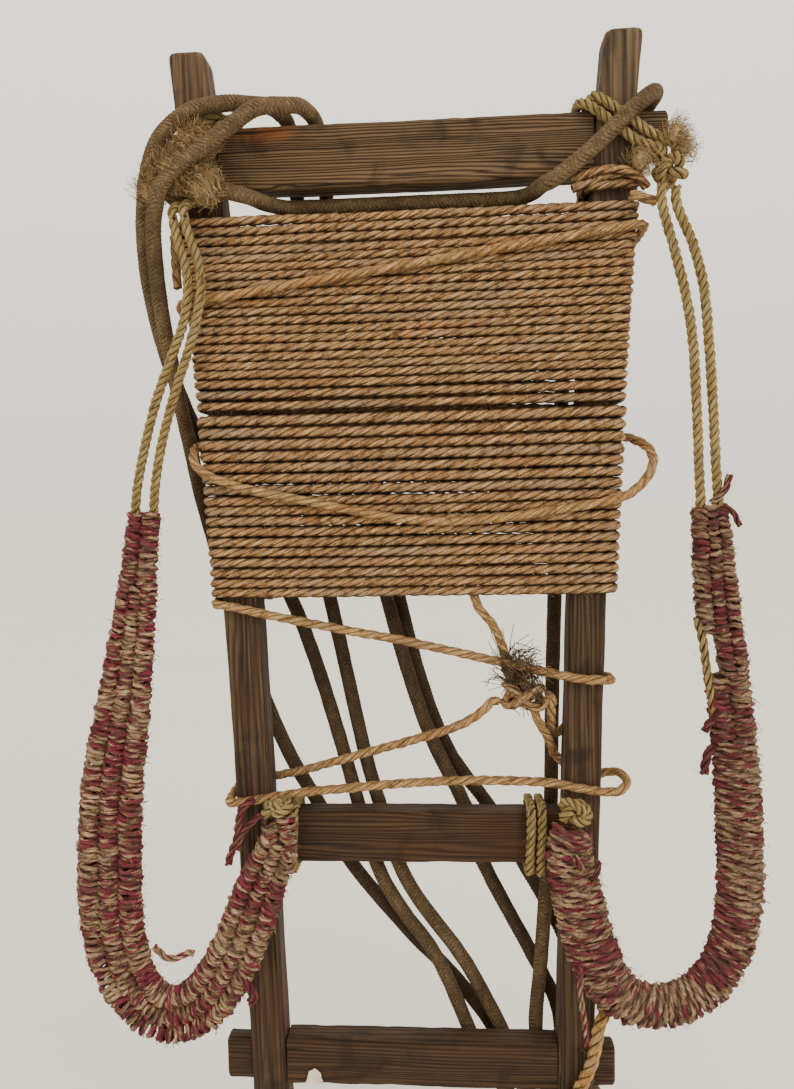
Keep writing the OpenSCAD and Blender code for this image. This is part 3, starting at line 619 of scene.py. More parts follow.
class Growth(Tree):
    """A Geometry Nodes tree with named inputs."""

    def __init__(self, name: str, inputs: dict[str, str]) -> None:
        """Start a tree.

        Args:
            name: The tree's name.
            inputs: The kind of each named input.
        """
        group = bpy.data.node_groups.new(name, "GeometryNodeTree")
        super().__init__(group)
        self.sockets: dict[str, str] = {}
        group.interface.new_socket("Geometry", in_out="INPUT",
                                   socket_type="NodeSocketGeometry")
        for label, kind in inputs.items():
            made = group.interface.new_socket(label, in_out="INPUT",
                                              socket_type=f"NodeSocket{kind}")
            self.sockets[label] = made.identifier
        group.interface.new_socket("Geometry", in_out="OUTPUT",
                                   socket_type="NodeSocketGeometry")
        self.entry = self.node("NodeGroupInput")
        self.exit = self.node("NodeGroupOutput")

    def given(self, name: str) -> Link:
        """Return one of the tree's inputs."""
        return Link(self, self.entry.outputs[name])

    def store(self, geometry: Link, name: str, value: Value,
              kind: str = "FLOAT") -> Link:
        """Store a named attribute on the points and return the geometry."""
        return self.add("GeometryNodeStoreNamedAttribute",
                        {"data_type": kind, "domain": "POINT"},
                        {"Geometry": geometry, "Name": name, "Value": value})

    def named(self, name: str, kind: str = "FLOAT") -> Link:
        """Return a named attribute."""
        return self.add("GeometryNodeInputNamedAttribute", {"data_type": kind},
                        {"Name": name})

    def random(self, low: Value, high: Value, seed: int) -> Link:
        """Return a random number for each element."""
        return self.add("FunctionNodeRandomValue", {"data_type": "FLOAT"},
                        {2: low, 3: high, 8: seed}, out=1)

    def random_direction(self, seed: int) -> Link:
        """Return a random vector for each element."""
        return self.add("FunctionNodeRandomValue", {"data_type": "FLOAT_VECTOR"},
                        {0: (-1.0,) * 3, 1: (1.0,) * 3, 8: seed}, out=0)

    def tube(self, curve: Link, radius: Value, sides: Value) -> Link:
        """Return a tube on a curve, with each point's place round it as "turn"."""
        ring = self.add("GeometryNodeCurvePrimitiveCircle", {"mode": "RADIUS"},
                        {"Resolution": sides, "Radius": radius})
        factor = self.add("GeometryNodeSplineParameter", out="Factor")
        ring = self.store(ring, "turn", factor)
        return self.add("GeometryNodeCurveToMesh", None,
                        {"Curve": curve, "Profile Curve": ring, "Fill Caps": True})

    def hairs(self, surface: Link, density: Value, length: Value, lie: float,
              bend: float = 0.35, points: int = 3, thick: float = 0.016) -> Link:
        """Return loose hairs scattered on a surface.

        Args:
            surface: The mesh they grow on, with its fibres' direction as "grain".
            density: How many to a square metre.
            length: Their mean length, in metres.
            lie: How strongly they follow the grain.
            bend: How far each one curves, as a share of its length.
            points: How many points each one has.
            thick: Half a hair's thickness, as a share of its length.

        Returns:
            The hairs, as instances.
        """
        scatter = self.node("GeometryNodeDistributePointsOnFaces", None,
                            {"Mesh": surface, "Density": density, "Seed": 7})
        points_out = Link(self, scatter.outputs["Points"])
        normal = Link(self, scatter.outputs["Normal"])
        line = self.add("GeometryNodeCurvePrimitiveLine", None,
                        {"Start": (0.0, 0.0, 0.0), "End": (0.0, 0.0, 1.0)})
        line = self.add("GeometryNodeResampleCurve", {"mode": "COUNT"},
                        {"Curve": line, "Count": points})
        part = self.add("GeometryNodeSplineParameter", out="Factor")
        swing = self.math("SINE", part * 4.0) * bend
        line = self.add("GeometryNodeSetPosition", None, {
            "Geometry": line,
            "Offset": self.combine(part * part * bend, swing * 0.6, 0.0)})
        ring = self.add("GeometryNodeCurvePrimitiveCircle", {"mode": "RADIUS"},
                        {"Resolution": 3, "Radius": thick})
        hair = self.add("GeometryNodeCurveToMesh", None,
                        {"Curve": line, "Profile Curve": ring, "Fill Caps": True})
        toward = self.vector("ADD", self.scaled(self.named("grain", "FLOAT_VECTOR"), lie),
                             self.scaled(normal, 0.55))
        toward = self.vector("ADD", toward, self.scaled(self.random_direction(3), 0.75))
        turned = self.add("FunctionNodeAlignRotationToVector", {"axis": "Z"},
                          {"Vector": toward})
        size = length * self.random(0.4, 1.5, 5)
        return self.add("GeometryNodeInstanceOnPoints", None,
                        {"Points": points_out, "Instance": hair, "Rotation": turned,
                         "Scale": self.combine(size, size, size)})

    def finish(self, body: Link, hairs: Link, body_material: str,
               hair_material: str) -> None:
        """Join a body and its hairs, with their materials, as the tree's result."""
        body = self.add("GeometryNodeSetShadeSmooth", None, {"Geometry": body})
        hairs = self.add("GeometryNodeRealizeInstances", None, {"Geometry": hairs})
        body, hairs = (self.add("GeometryNodeSetMaterial", None,
                                {"Geometry": mesh, "Material": self.given(material)})
                       for mesh, material in ((body, body_material),
                                              (hairs, hair_material)))
        whole = self.add("GeometryNodeJoinGeometry", None, {"Geometry": [hairs, body]})
        whole = self.add("GeometryNodeRealizeInstances", None, {"Geometry": whole})
        self.feed(self.exit.inputs["Geometry"], whole)

    def grow(self, piece: bpy.types.Object, values: dict[str, Value]) -> bpy.types.Object:
        """Run the tree on an object and keep the result as a plain mesh.

        Args:
            piece: The object to grow on.
            values: What each named input gets.

        Returns:
            The same object, with its new mesh and no modifier.
        """
        modifier = piece.modifiers.new(self.node_tree.name, "NODES")
        modifier.node_group = self.node_tree
        for label, value in values.items():
            modifier[self.sockets[label]] = value
        return applied(piece, modifier, preserve_all_data_layers=True)


class LaidRopeTree(Growth):
    """Grows a rope of twisted strands along a path."""

    def __init__(self, name: str = "laid rope", hair: float = 0.016) -> None:
        """Build the tree.

        Args:
            name: The tree's name.
            hair: Half a loose hair's thickness, as a share of its length.
        """
        super().__init__(name, {
            "Strands": "Int", "Strand Radius": "Float", "Strand Offset": "Float",
            "Lay": "Float", "Step": "Float", "Sides": "Int", "Lumps": "Float",
            "Crumple": "Float",
            "Hair Density": "Float", "Hair Length": "Float",
            "Rope Material": "Material", "Hair Material": "Material"})
        path = self.add("GeometryNodeMeshToCurve", None, {"Mesh": self.given("Geometry")})
        path = self.add("GeometryNodeResampleCurve", {"mode": "LENGTH"},
                        {"Curve": path, "Length": self.given("Step")})
        copies = self.node("GeometryNodeDuplicateElements", {"domain": "SPLINE"},
                           {"Geometry": path, "Amount": self.given("Strands")})
        strands = Link(self, copies.outputs["Geometry"])
        index = Link(self, copies.outputs["Duplicate Index"])
        along = self.add("GeometryNodeSplineParameter", out="Length")
        strands = self.store(strands, "strand", index + 0.0)
        strands = self.store(strands, "along", along)
        which = self.named("strand")
        angle = (along / self.given("Lay") + which / self.given("Strands")) * TAU
        uneven = self.noise(self.combine(along * 34.0, which * 7.3, 0.0), 1.0, 2.0)
        reach = self.given("Strand Offset") * (0.72 + uneven * 0.56)
        tangent = self.add("GeometryNodeInputTangent")
        normal = self.add("GeometryNodeInputNormal")
        beside = self.vector("CROSS_PRODUCT", tangent, normal)
        offset = self.vector("ADD",
                             self.scaled(normal, self.math("COSINE", angle) * reach),
                             self.scaled(beside, self.math("SINE", angle) * reach))
        strands = self.store(strands, "away", self.vector("NORMALIZE", offset),
                             "FLOAT_VECTOR")
        strands = self.add("GeometryNodeSetPosition", None,
                           {"Geometry": strands, "Offset": offset})
        strands = self.store(strands, "grain", self.add("GeometryNodeInputTangent"),
                             "FLOAT_VECTOR")
        radius = self.given("Strand Radius")
        body = self.tube(strands, radius, self.given("Sides"))
        round_it = (self.named("turn") + self.named("along") * 22.0) * TAU
        fibre = self.combine(self.math("COSINE", round_it) * radius,
                             self.math("SINE", round_it) * radius,
                             self.named("along") + self.named("strand") * 0.37)
        body = self.store(body, "fibre", fibre, "FLOAT_VECTOR")
        body = self._outwardness(body)
        lump = self.noise(self.vector("MULTIPLY", self.named("fibre", "FLOAT_VECTOR"),
                                      (520.0, 520.0, 95.0)), 1.0, 2.0)
        fold = self.noise(self.add("GeometryNodeInputPosition"), 230.0, 2.0)
        out = self.add("GeometryNodeInputNormal")
        push = ((lump - 0.5) * self.given("Lumps") + (fold - 0.5) * self.given("Crumple"))
        body = self.add("GeometryNodeSetPosition", None,
                        {"Geometry": body, "Offset": self.scaled(out, push)})
        hairs = self.hairs(body, self.given("Hair Density"), self.given("Hair Length"), 1.6,
                           thick=hair)
        self.finish(body, hairs, "Rope Material", "Hair Material")

    def _outwardness(self, body: Link) -> Link:
        """Store how far each point faces away from the rope's middle, from -1 to 1."""
        facing = self.add("ShaderNodeVectorMath", {"operation": "DOT_PRODUCT"},
                          {0: self.add("GeometryNodeInputNormal"),
                           1: self.named("away", "FLOAT_VECTOR")}, out="Value")
        return self.store(body, "facing", facing)


class SheathTree(Growth):
    """Grows a rope with a braided sheath along a path."""

    PLAITS = 8
    STITCH = 0.0036

    def __init__(self) -> None:
        """Build the tree."""
        super().__init__("braided sheath", {
            "Radius": "Float", "Step": "Float", "Sides": "Int", "Relief": "Float",
            "Hair Density": "Float", "Hair Length": "Float",
            "Rope Material": "Material", "Hair Material": "Material"})
        path = self.add("GeometryNodeMeshToCurve", None, {"Mesh": self.given("Geometry")})
        path = self.add("GeometryNodeResampleCurve", {"mode": "LENGTH"},
                        {"Curve": path, "Length": self.given("Step")})
        path = self.store(path, "along", self.add("GeometryNodeSplineParameter",
                                                  out="Length"))
        path = self.store(path, "grain", self.add("GeometryNodeInputTangent"),
                          "FLOAT_VECTOR")
        body = self.tube(path, self.given("Radius"), self.given("Sides"))
        round_it = self.named("turn") * float(self.PLAITS)
        travel = self.named("along") / self.STITCH
        right, left = round_it + travel, round_it - travel + 4096.0
        count = self.math("FLOOR", right) + self.math("FLOOR", left)
        over = self.math("LESS_THAN", self.math("FLOORED_MODULO", count, 4.0), 2.0)
        stitch = (self._mound(right) * over + self._mound(left) * (1.0 - over))
        body = self.store(body, "stitch", stitch)
        bulge = self.noise(self.add("GeometryNodeInputPosition"), 60.0, 2.0) - 0.5
        out = self.add("GeometryNodeInputNormal")
        height = (self.named("stitch") - 0.5) * self.given("Relief") + bulge * 0.0011
        body = self.add("GeometryNodeSetPosition", None,
                        {"Geometry": body, "Offset": self.scaled(out, height)})
        hairs = self.hairs(body, self.given("Hair Density"), self.given("Hair Length"), 0.5)
        self.finish(body, hairs, "Rope Material", "Hair Material")

    def _mound(self, place: Link) -> Link:
        """Return a rounded ridge for each whole number that place passes."""
        side = self.math("FRACT", place) * 2.0 - 1.0
        return 1.0 - side * side


class TuftTree(Growth):
    """Grows a frayed tuft on a small lump."""

    def __init__(self) -> None:
        """Build the tree."""
        super().__init__("frayed tuft", {
            "Hair Density": "Float", "Hair Length": "Float",
            "Core Material": "Material", "Hair Material": "Material"})
        body = self.store(self.given("Geometry"), "grain",
                          self.add("GeometryNodeInputNormal"), "FLOAT_VECTOR")
        body = self.store(body, "fibre", self.add("GeometryNodeInputPosition"),
                          "FLOAT_VECTOR")
        hairs = self.hairs(body, self.given("Hair Density"), self.given("Hair Length"),
                           0.25, 1.3, 6, 0.022)
        self.finish(body, hairs, "Core Material", "Hair Material")


# -------------------------------------------------------------------- paths

Line = np.ndarray


def smooth(route: Sequence[Point], steps: int = 6) -> Line:
    """Return a smooth curve through a route's points.

    Args:
        route: The points, in millimetres.
        steps: How many points to make between each pair.

    Returns:
        The curve's points, one to a row.
    """
    p = np.array(route, float)
    count = len(p)
    made = []
    for i in range(count - 1):
        a, b, c, d = p[max(i - 1, 0)], p[i], p[i + 1], p[min(i + 2, count - 1)]
        for s in range(steps):
            t = s / steps
            made.append(0.5 * (2 * b + (c - a) * t + (2 * a - 5 * b + 4 * c - d) * t * t
                               + (3 * b - 3 * c + d - a) * t ** 3))
    made.append(p[-1])
    return np.array(made)


def wave(x: float, y: float, z: float = 0.0) -> float:
    """Return smooth noise from about -1 to 1."""
    return noise.noise(Vector((x, y, z)))


def loop_round(low: tuple[float, float], high: tuple[float, float], reach: float,
               turns: float, heights: tuple[float, float], start: float = 0.0) -> Line:
    """Return turns of rope round an upright rectangular bar.

    Args:
        low: The bar's lowest x and y.
        high: The bar's highest x and y.
        reach: The distance from the bar to the rope's centre line.
        turns: How many turns.
        heights: The height of the first point and of the last.
        start: Where on the loop to begin, from 0 to 1.

    Returns:
        The centre line's points.
    """
    cx, cy = (low[0] + high[0]) / 2, (low[1] + high[1]) / 2
    hx, hy = (high[0] - low[0]) / 2, (high[1] - low[1]) / 2
    count = int(48 * turns)
    made = []
    for i in range(count + 1):
        a = TAU * (start + i / 48)
        c, s = math.cos(a), math.sin(a)
        grow = min(hx / max(abs(c), 1e-6), hy / max(abs(s), 1e-6))
        edge = np.array([c * grow, s * grow])
        out = np.array([c * hy, s * hx])
        out /= np.linalg.norm(out)
        z = heights[0] + (heights[1] - heights[0]) * i / count
        made.append([cx + edge[0] + out[0] * reach, cy + edge[1] + out[1] * reach, z])
    return np.array(made)


def knot_line(size: Point, rope: float, turns: int = 3, points: int = 150) -> Line:
    """Return a closed knot's centre line that fills a box about the origin."""
    t = np.linspace(0.0, TAU, points)
    x = (2.1 + np.cos(turns * t)) * np.cos(2 * t)
    y = np.sin(turns * t)
    z = (2.1 + np.cos(turns * t)) * np.sin(2 * t)
    line = np.stack([x / 3.1, y, z / 3.1], axis=1)
    half = np.array([max(s / 2 - rope / 2, rope * 0.4) for s in size])
    return line * half


def placed(line: Line, base: Point, tilt: float = 0.0) -> Line:
    """Return a line moved to a base, after a tilt in degrees about Y."""
    turn = np.array(Matrix.Rotation(math.radians(tilt), 3, "Y"))
    return line @ turn.T + np.array(base)


def jittered(line: Line, amount: float, seed: float) -> Line:
    """Return a line with a slow, small wander."""
    move = [[wave(p[0] / 37 + seed, p[2] / 37, k * 9.1) for k in range(3)] for p in line]
    fade = np.minimum(1.0, np.minimum(np.arange(len(line)),
                                      np.arange(len(line))[::-1]) / 4)[:, None]
    return line + np.array(move) * amount * fade


def path_object(name: str, lines: Iterable[Line]) -> bpy.types.Object:
    """Return an object whose mesh is some open lines, ready for a tree to grow on."""
    points, edges = [], []
    for line in lines:
        first = len(points)
        points += [tuple(p * MM) for p in line]
        edges += [(i, i + 1) for i in range(first, len(points) - 1)]
    mesh = bpy.data.meshes.new(name)
    mesh.from_pydata(points, edges, [])
    return linked(name, mesh)


def linked(name: str, mesh: bpy.types.Mesh) -> bpy.types.Object:
    """Return a new object in the scene that shows a mesh."""
    made = bpy.data.objects.new(name, mesh)
    bpy.context.scene.collection.objects.link(made)
    return made


def settle(piece: bpy.types.Object, body: str, slot: str, *nodes: str) -> bpy.types.Object:
    """Fix a finished piece to its body and hide the model parts it stands for.

    Args:
        piece: The finished piece.
        body: The body it moves with.
        slot: The material slot of its finish; not used.
        nodes: The nodes it stands for.

    Returns:
        The piece.
    """
    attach(piece, body)
    if nodes:
        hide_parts(*nodes)
    LOG.info("%s: %d faces on %s", piece.name, len(piece.data.polygons), body)
    return piece


# ------------------------------------------------------------------- sizes


@dataclass(frozen=True)
class FrameSizes:
    """The frame's sizes that every part of it shares."""

    height: float = 1078.0
    stile_width: float = 35.0
    stile_depth: float = 32.0
    foot_half: float = 144.0
    lean: float = 0.0275
    flare: float = 22.0
    bow_from: float = 350.0
    gap: float = 0.3
    rail_depth: float = 28.0

    def stile_x(self, z: float) -> float:
        """Return a stile's distance from the middle at a height."""
        bow = max(0.0, z - self.bow_from) / (self.height - self.bow_from)
        return self.foot_half + self.lean * z + self.flare * bow ** 2.5

    def outer(self, z: float) -> float:
        """Return the distance to a stile's outer face."""
        return self.stile_x(z) + self.stile_width / 2

    def inner(self, z: float) -> float:
        """Return the distance to a stile's inner face."""
        return self.stile_x(z) - self.stile_width / 2


@dataclass(frozen=True)
class LaidRope:
    """One kind of twisted rope."""

    diameter: float
    strands: int
    lay: float
    strand_radius: float
    strand_offset: float
    fibre: bpy.types.Material
    hair: bpy.types.Material
    lumps: float = 0.9
    crumple: float = 0.25
    hairs_per_metre: float = 200.0
    hair_length: float = 5.0
    step: float = 2.5
    sides: int = 8

    def make(self, tree: LaidRopeTree, name: str, lines: Sequence[Line],
             fuzz: float = 1.0) -> bpy.types.Object:
        """Make a rope along some lines.

        Args:
            tree: The tree that grows it.
            name: The piece's name.
            lines: The centre lines.
            fuzz: How many hairs it has, against the usual number.

        Returns:
            The rope's plain mesh.
        """
        skin = TAU * self.strand_radius * MM * self.strands
        piece = path_object(name, lines)
        return tree.grow(piece, {
            "Strands": self.strands, "Strand Radius": self.strand_radius * MM,
            "Strand Offset": self.strand_offset * MM, "Lay": self.lay * MM,
            "Step": self.step * MM, "Sides": self.sides, "Lumps": self.lumps * MM,
            "Crumple": self.crumple * MM,
            "Hair Density": self.hairs_per_metre * fuzz / skin,
            "Hair Length": self.hair_length * MM,
            "Rope Material": self.fibre, "Hair Material": self.hair})


@dataclass(frozen=True)
class BraidedRope:
    """The lashing's round braided rope."""

    diameter: float
    fibre: bpy.types.Material
    hair: bpy.types.Material
    relief: float = 1.0
    hairs_per_metre: float = 700.0
    hair_length: float = 2.2

    def make(self, tree: SheathTree, name: str, lines: Sequence[Line]) -> bpy.types.Object:
        """Make the rope along some lines and return its plain mesh."""
        radius = self.diameter / 2 - self.relief * 0.35
        piece = path_object(name, lines)
        return tree.grow(piece, {
            "Radius": radius * MM, "Step": 1.25 * MM, "Sides": 26,
            "Relief": self.relief * MM,
            "Hair Density": self.hairs_per_metre / (TAU * radius * MM),
            "Hair Length": self.hair_length * MM,
            "Rope Material": self.fibre, "Hair Material": self.hair})


@dataclass(frozen=True)
class Palette:
    """Every finish on the frame, made once."""

    across: bpy.types.Material
    low_across: bpy.types.Material
    upright: bpy.types.Material
    straw: bpy.types.Material
    bright: bpy.types.Material
    straw_hair: bpy.types.Material
    olive: bpy.types.Material
    olive_hair: bpy.types.Material
    braid: bpy.types.Material
    braid_hair: bpy.types.Material
    golden: bpy.types.Material
    fluff: bpy.types.Material
    dark_fibre: bpy.types.Material
    woven: bpy.types.Material
    woven_hair: bpy.types.Material
    rag: bpy.types.Material
    paper: bpy.types.Material

    @classmethod
    def mixed(cls) -> "Palette":
        """Make every finish."""
        return cls(
            across=WoodFinish("top_rail_wood", Grain.ACROSS,
                              stain=(-126.0, -14.0, 1003.0)).make(),
            low_across=WoodFinish("lower_rail_wood", Grain.ACROSS, ring=260.0, hard=0.40,
                                  brown=(0.037, 0.017, 0.007),
                                  pale=(0.077, 0.041, 0.019),
                                  red=(0.046, 0.016, 0.006)).make(),
            upright=WoodFinish("stile_wood", Grain.UP, ring=170.0, hard=0.26,
                               brown=(0.040, 0.021, 0.010),
                               pale=(0.122, 0.078, 0.042),
                               red=(0.056, 0.022, 0.009)).make(),
            straw=RopeFinish("straw_fibre", (0.062, 0.028, 0.010), (0.27, 0.145, 0.060),
                             (0.60, 0.39, 0.20), crease=0.85).make(),
            bright=RopeFinish("bright_straw_fibre", (0.075, 0.034, 0.011),
                              (0.30, 0.170, 0.066), (0.62, 0.40, 0.19),
                              grey=(0.20, 0.145, 0.085), crease=0.35).make(),
            straw_hair=RopeFinish("straw_ends", (0.30, 0.17, 0.08), (0.52, 0.33, 0.16),
                                  (0.75, 0.55, 0.31), groove_dirt_and_shade=0.0).make(),
            olive=RopeFinish("olive_fibre", (0.080, 0.050, 0.016), (0.240, 0.165, 0.062),
                             (0.41, 0.31, 0.135), grey=(0.19, 0.155, 0.08),
                             russet=(0.20, 0.12, 0.035)).make(),
            olive_hair=RopeFinish("olive_ends", (0.20, 0.14, 0.06), (0.34, 0.26, 0.12),
                                  (0.48, 0.38, 0.20), groove_dirt_and_shade=0.0).make(),
            braid=BraidFinish("braided_sheath", (0.030, 0.016, 0.008),
                              (0.112, 0.072, 0.036), (0.26, 0.185, 0.10)).make(),
            braid_hair=RopeFinish("braid_fuzz", (0.08, 0.045, 0.02), (0.18, 0.112, 0.054),
                                  (0.30, 0.21, 0.11), groove_dirt_and_shade=0.0).make(),
            golden=RopeFinish("golden_fibre", (0.12, 0.060, 0.015), (0.34, 0.185, 0.060),
                              (0.55, 0.35, 0.14)).make(),
            fluff=RopeFinish("combed_out_fibre", (0.12, 0.07, 0.025), (0.36, 0.24, 0.105),
                             (0.62, 0.46, 0.24), groove_dirt_and_shade=0.0).make(),
            dark_fibre=RopeFinish("frayed_dark_fibre", (0.012, 0.006, 0.003),
                                  (0.055, 0.028, 0.013), (0.16, 0.09, 0.045), groove_dirt_and_shade=0.0).make(),
            woven=StrapFinish("woven_straw_and_rag").make(),
            woven_hair=StrapFinish("loose_straw_and_rag").make(),
            rag=StrapFinish("crimson_rag", straw=(0.13, 0.042, 0.034),
                            straw_dark=(0.035, 0.012, 0.010),
                            straw_light=(0.24, 0.10, 0.075),
                            rag=(0.13, 0.018, 0.028)).make(),
            paper=PlainFinish("blank_paper", (0.70, 0.64, 0.52),
                              (0.45, 0.37, 0.27), 90.0).make())


@dataclass(frozen=True)
class Workshop:
    """What every sub-assembly is made with."""

    sizes: FrameSizes
    palette: Palette
    laid: LaidRopeTree
    yarn: LaidRopeTree
    sheath: SheathTree
    tuft: TuftTree
    straw: LaidRope
    olive: LaidRope
    golden: LaidRope
    braided: BraidedRope

    @classmethod
    def opened(cls) -> "Workshop":
        """Make the finishes, the trees and the kinds of rope."""
        p = Palette.mixed()
        return cls(
            sizes=FrameSizes(), palette=p, laid=LaidRopeTree(),
            yarn=LaidRopeTree("rag yarn", 0.05), sheath=SheathTree(),
            tuft=TuftTree(),
            straw=LaidRope(8.4, 3, -39.0, 2.85, 1.65, p.straw, p.straw_hair, lumps=1.0,
                           crumple=0.5, step=3.0, sides=7),
            olive=LaidRope(9.0, 3, 22.0, 2.15, 2.45, p.olive, p.olive_hair, lumps=0.6,
                           hairs_per_metre=260.0, hair_length=3.5, step=2.2),
            golden=LaidRope(12.0, 3, 34.0, 3.0, 3.1, p.golden, p.golden,
                            hairs_per_metre=300.0),
            braided=BraidedRope(14.0, p.braid, p.braid_hair))


# ----------------------------------------------------------- sub-assemblies


@dataclass
class Lashing:
    """The braided rope behind the frame, its hitch and the rope round the foot."""

    shop: Workshop
    runs: tuple[str, ...] = ("outer", "middle", "inner")
    hitch_base: float = 44.4
    hitch_pitch: float = 14.7

    def make(self) -> None:
        """Make the three runs, the hitch and the foot rope."""
        for run in self.runs:
            self._run(run)
        self._hitch()
        rope = self.shop.golden
        piece = rope.make(self.shop.laid, "foot_tie_rope",
                          [smooth(ROUTES["foot_rope"])])
        settle(piece, FRAME, "straw_rope", "foot_rope")

    def _run(self, run: str) -> None:
        line = smooth(ROUTES[f"lashing_{run}"], 4)
        rope = self.shop.braided
        piece = rope.make(self.shop.sheath, f"braided_run_{run}", [line])
        settle(piece, FRAME, "braided_rope", f"lashing_{run}")
        rope.diameter * MM

    def _hitch(self) -> None:
        """Make three turns round the foot, with their doubled back."""
        sizes, rope = self.shop.sizes, self.shop.braided
        reach = rope.diameter / 2 + sizes.gap
        low = self.hitch_base + rope.diameter / 2
        high = low + 2.05 * self.hitch_pitch
        x0, x1 = sizes.inner(self.hitch_base), sizes.outer(high)
        y = sizes.stile_depth / 2
        turns = loop_round((x0, -y), (x1, y), reach, 3.0, (low, high), 0.25)
        back = []
        for i in range(3):
            z = low + i * self.hitch_pitch
            back.append(smooth([(x0 - 4, 24, z), (x0 - 3, 33, z), (x0 + 5, 38.5, z),
                                (x1 - 5, 38.5, z + 1), (x1 + 3, 33, z + 1),
                                (x1 + 4, 24, z + 1)]))
        piece = rope.make(self.shop.sheath, "foot_hitch_turns", [turns, *back])
        settle(piece, FRAME, "braided_rope", "foot_hitch")


@dataclass
class BackWinding:
    """The straw rope wound round both stiles, with its loose and crossing turns."""

    shop: Workshop
    levels: tuple[tuple[float, ...], ...] = (
        (896.2, 904.9, 913.6, 922.2),
        (756.4, 766.8, 776.4, 785.0, 793.0, 800.8, 808.8, 817.0, 825.0, 833.0, 841.0,
         849.0, 857.3, 865.5, 873.5, 881.0, 888.3),
        (710.5, 721.0, 732.0, 743.2), (660.5, 669.7, 679.8, 690.0, 700.2),
        (593.6, 603.0, 612.5, 622.0, 631.5, 641.2, 651.0), (584.6,))
    singles: tuple[str, ...] = (
        "winding_start", "winding_stub", "winding_tail", "diagonal_turn", "loose_turn",
        "riser_rope", "upper_cross_turn", "lower_cross_turn")
    cut_ends: tuple[str, ...] = ("winding_tail", "winding_stub")
    cut_fuzz: float = 2.2
    close_pitch: float = 8.3
    lone_pitch: float = 9.4
    longest_piece: int = 9
    end_overlap: float = 5.0
    wide_step: float = 12.0
    corner: float = 5.2
    wander: float = 0.9

    def make(self) -> None:
        """Make the bands, the single runs and the knot."""
        self._bands()
        bright = replace(self.shop.straw, fibre=self.shop.palette.bright)
        for node in self.singles:
            start = node == "winding_start"
            lines = [jittered(smooth(ROUTES[node]), 0.5, len(node))]
            if start:
                lines += self._start_hitch()
            kind = self.shop.straw if start else bright
            fuzz = self.cut_fuzz if node in self.cut_ends else 1.0
            piece = kind.make(self.shop.laid, f"straw_{node}", lines, fuzz)
            settle(piece, FRAME, "straw_rope", node)
        self._knot()

    def _start_hitch(self) -> list[Line]:
        """Return the turns that begin the winding, tight round the right stile."""
        sizes, half = self.shop.sizes, self.shop.sizes.stile_depth / 2
        z = 941.0
        wrap = loop_round((sizes.inner(z), -half), (sizes.outer(z), half), 4.6, 2.2,
                          (z - 4.0, z + 13.0), 0.35)
        end = smooth([(150, -18, 945), (160, -24.5, 948), (176, -27, 951),
                      (192, -27.5, 949), (205, -26, 943), (212, -22, 936)])
        return [jittered(wrap, 0.8, 2.0), end]

    def _turns(self) -> list[tuple[float, int]]:
        """Return each turn's height and band number, from the bottom up."""
        return [(z, number) for number in range(len(self.levels), 0, -1)
                for z in self.levels[number - 1]]

    def _bands(self) -> None:
        """Make the bands, each one from its own turns."""
        levels = self._turns()
        for number in range(1, len(self.levels) + 1):
            mine = [k for k, level in enumerate(levels) if level[1] == number]
            most = self.longest_piece
            halves = [mine] if len(mine) <= most else [mine[:most], mine[most:]]
            for part, turns in enumerate(halves):
                line = np.concatenate([self._turn(levels, k) for k in turns])
                line = np.concatenate([line, line[-1:] - (self.end_overlap, 0.0, 0.0)])
                name = f"straw_turns_{number}" + ("ab"[part] if len(halves) > 1 else "")
                here = self.levels[number - 1]
                pitch = (here[-1] - here[0]) / max(len(here) - 1, 1) or self.lone_pitch
                fat = max(1.0, pitch / self.close_pitch) ** 0.75
                straw = self.shop.straw
                rope = replace(straw, strand_radius=straw.strand_radius * fat,
                               strand_offset=straw.strand_offset * fat)
                piece = rope.make(self.shop.laid, name, [line])
                settle(piece, FRAME, "straw_rope", f"back_winding_{number}")

    def _turn(self, levels: list[tuple[float, int]], k: int) -> Line:
        """Return one turn's centre line, from the middle of the back and round."""
        z = levels[k][0]
        before = levels[k - 1][0] if k else z
        after = levels[k + 1][0] if k + 1 < len(levels) else z
        rope = self.shop.straw.diameter / 2
        sizes = self.shop.sizes
        side = sizes.outer(z) + sizes.gap + rope
        y, r = sizes.stile_depth / 2 + sizes.gap + rope, self.corner
        made: list[Point] = []

        def run(x0: float, x1: float, y_at: float, z0: float, z1: float,
                ease: float = 1.0) -> None:
            """Add the points of a level or climbing run."""
            count = max(3, int(abs(x1 - x0) / 14))
            for i in range(count + 1):
                t = i / count
                x = x0 + (x1 - x0) * t
                fade = math.sin(math.pi * t) ** 0.5 if 0 < t < 1 else 0.0
                up = wave(x / 70, k * 3.7, y_at) * self.wander * fade
                out = wave(x / 60, k * 5.1, 40 + y_at) * self.wander * 0.8 * fade
                sag = -0.6 * math.sin(math.pi * t) if y_at < 0 else 0.0
                made.append((x, y_at + out, z0 + (z1 - z0) * t ** ease + up + sag))

        def bend(cx: float, cy: float, start: float) -> None:
            """Add the points of a corner, anticlockwise from above."""
            for i in range(1, 4):
                a = math.radians(start + i * 22.5)
                made.append((cx + r * math.cos(a), cy + r * math.sin(a), z))

        share = 0.8 if max(z - before, after - z) > self.wide_step else 0.9
        run(0, -side + r, y, before + (z - before) * share, z, 2.5)
        bend(-side + r, y - r, 90)
        made.extend([(-side, y - r, z), (-side - 0.4, 0, z), (-side, r - y, z)])
        bend(-side + r, r - y, 180)
        run(-side + r, side - r, -y, z, z)
        bend(side - r, r - y, 270)
        made.extend([(side, r - y, z), (side + 0.4, 0, z), (side, y - r, z)])
        bend(side - r, y - r, 0)
        run(side - r, 4, y, z, z + (after - z) * share, 0.3)
        return np.array(made)

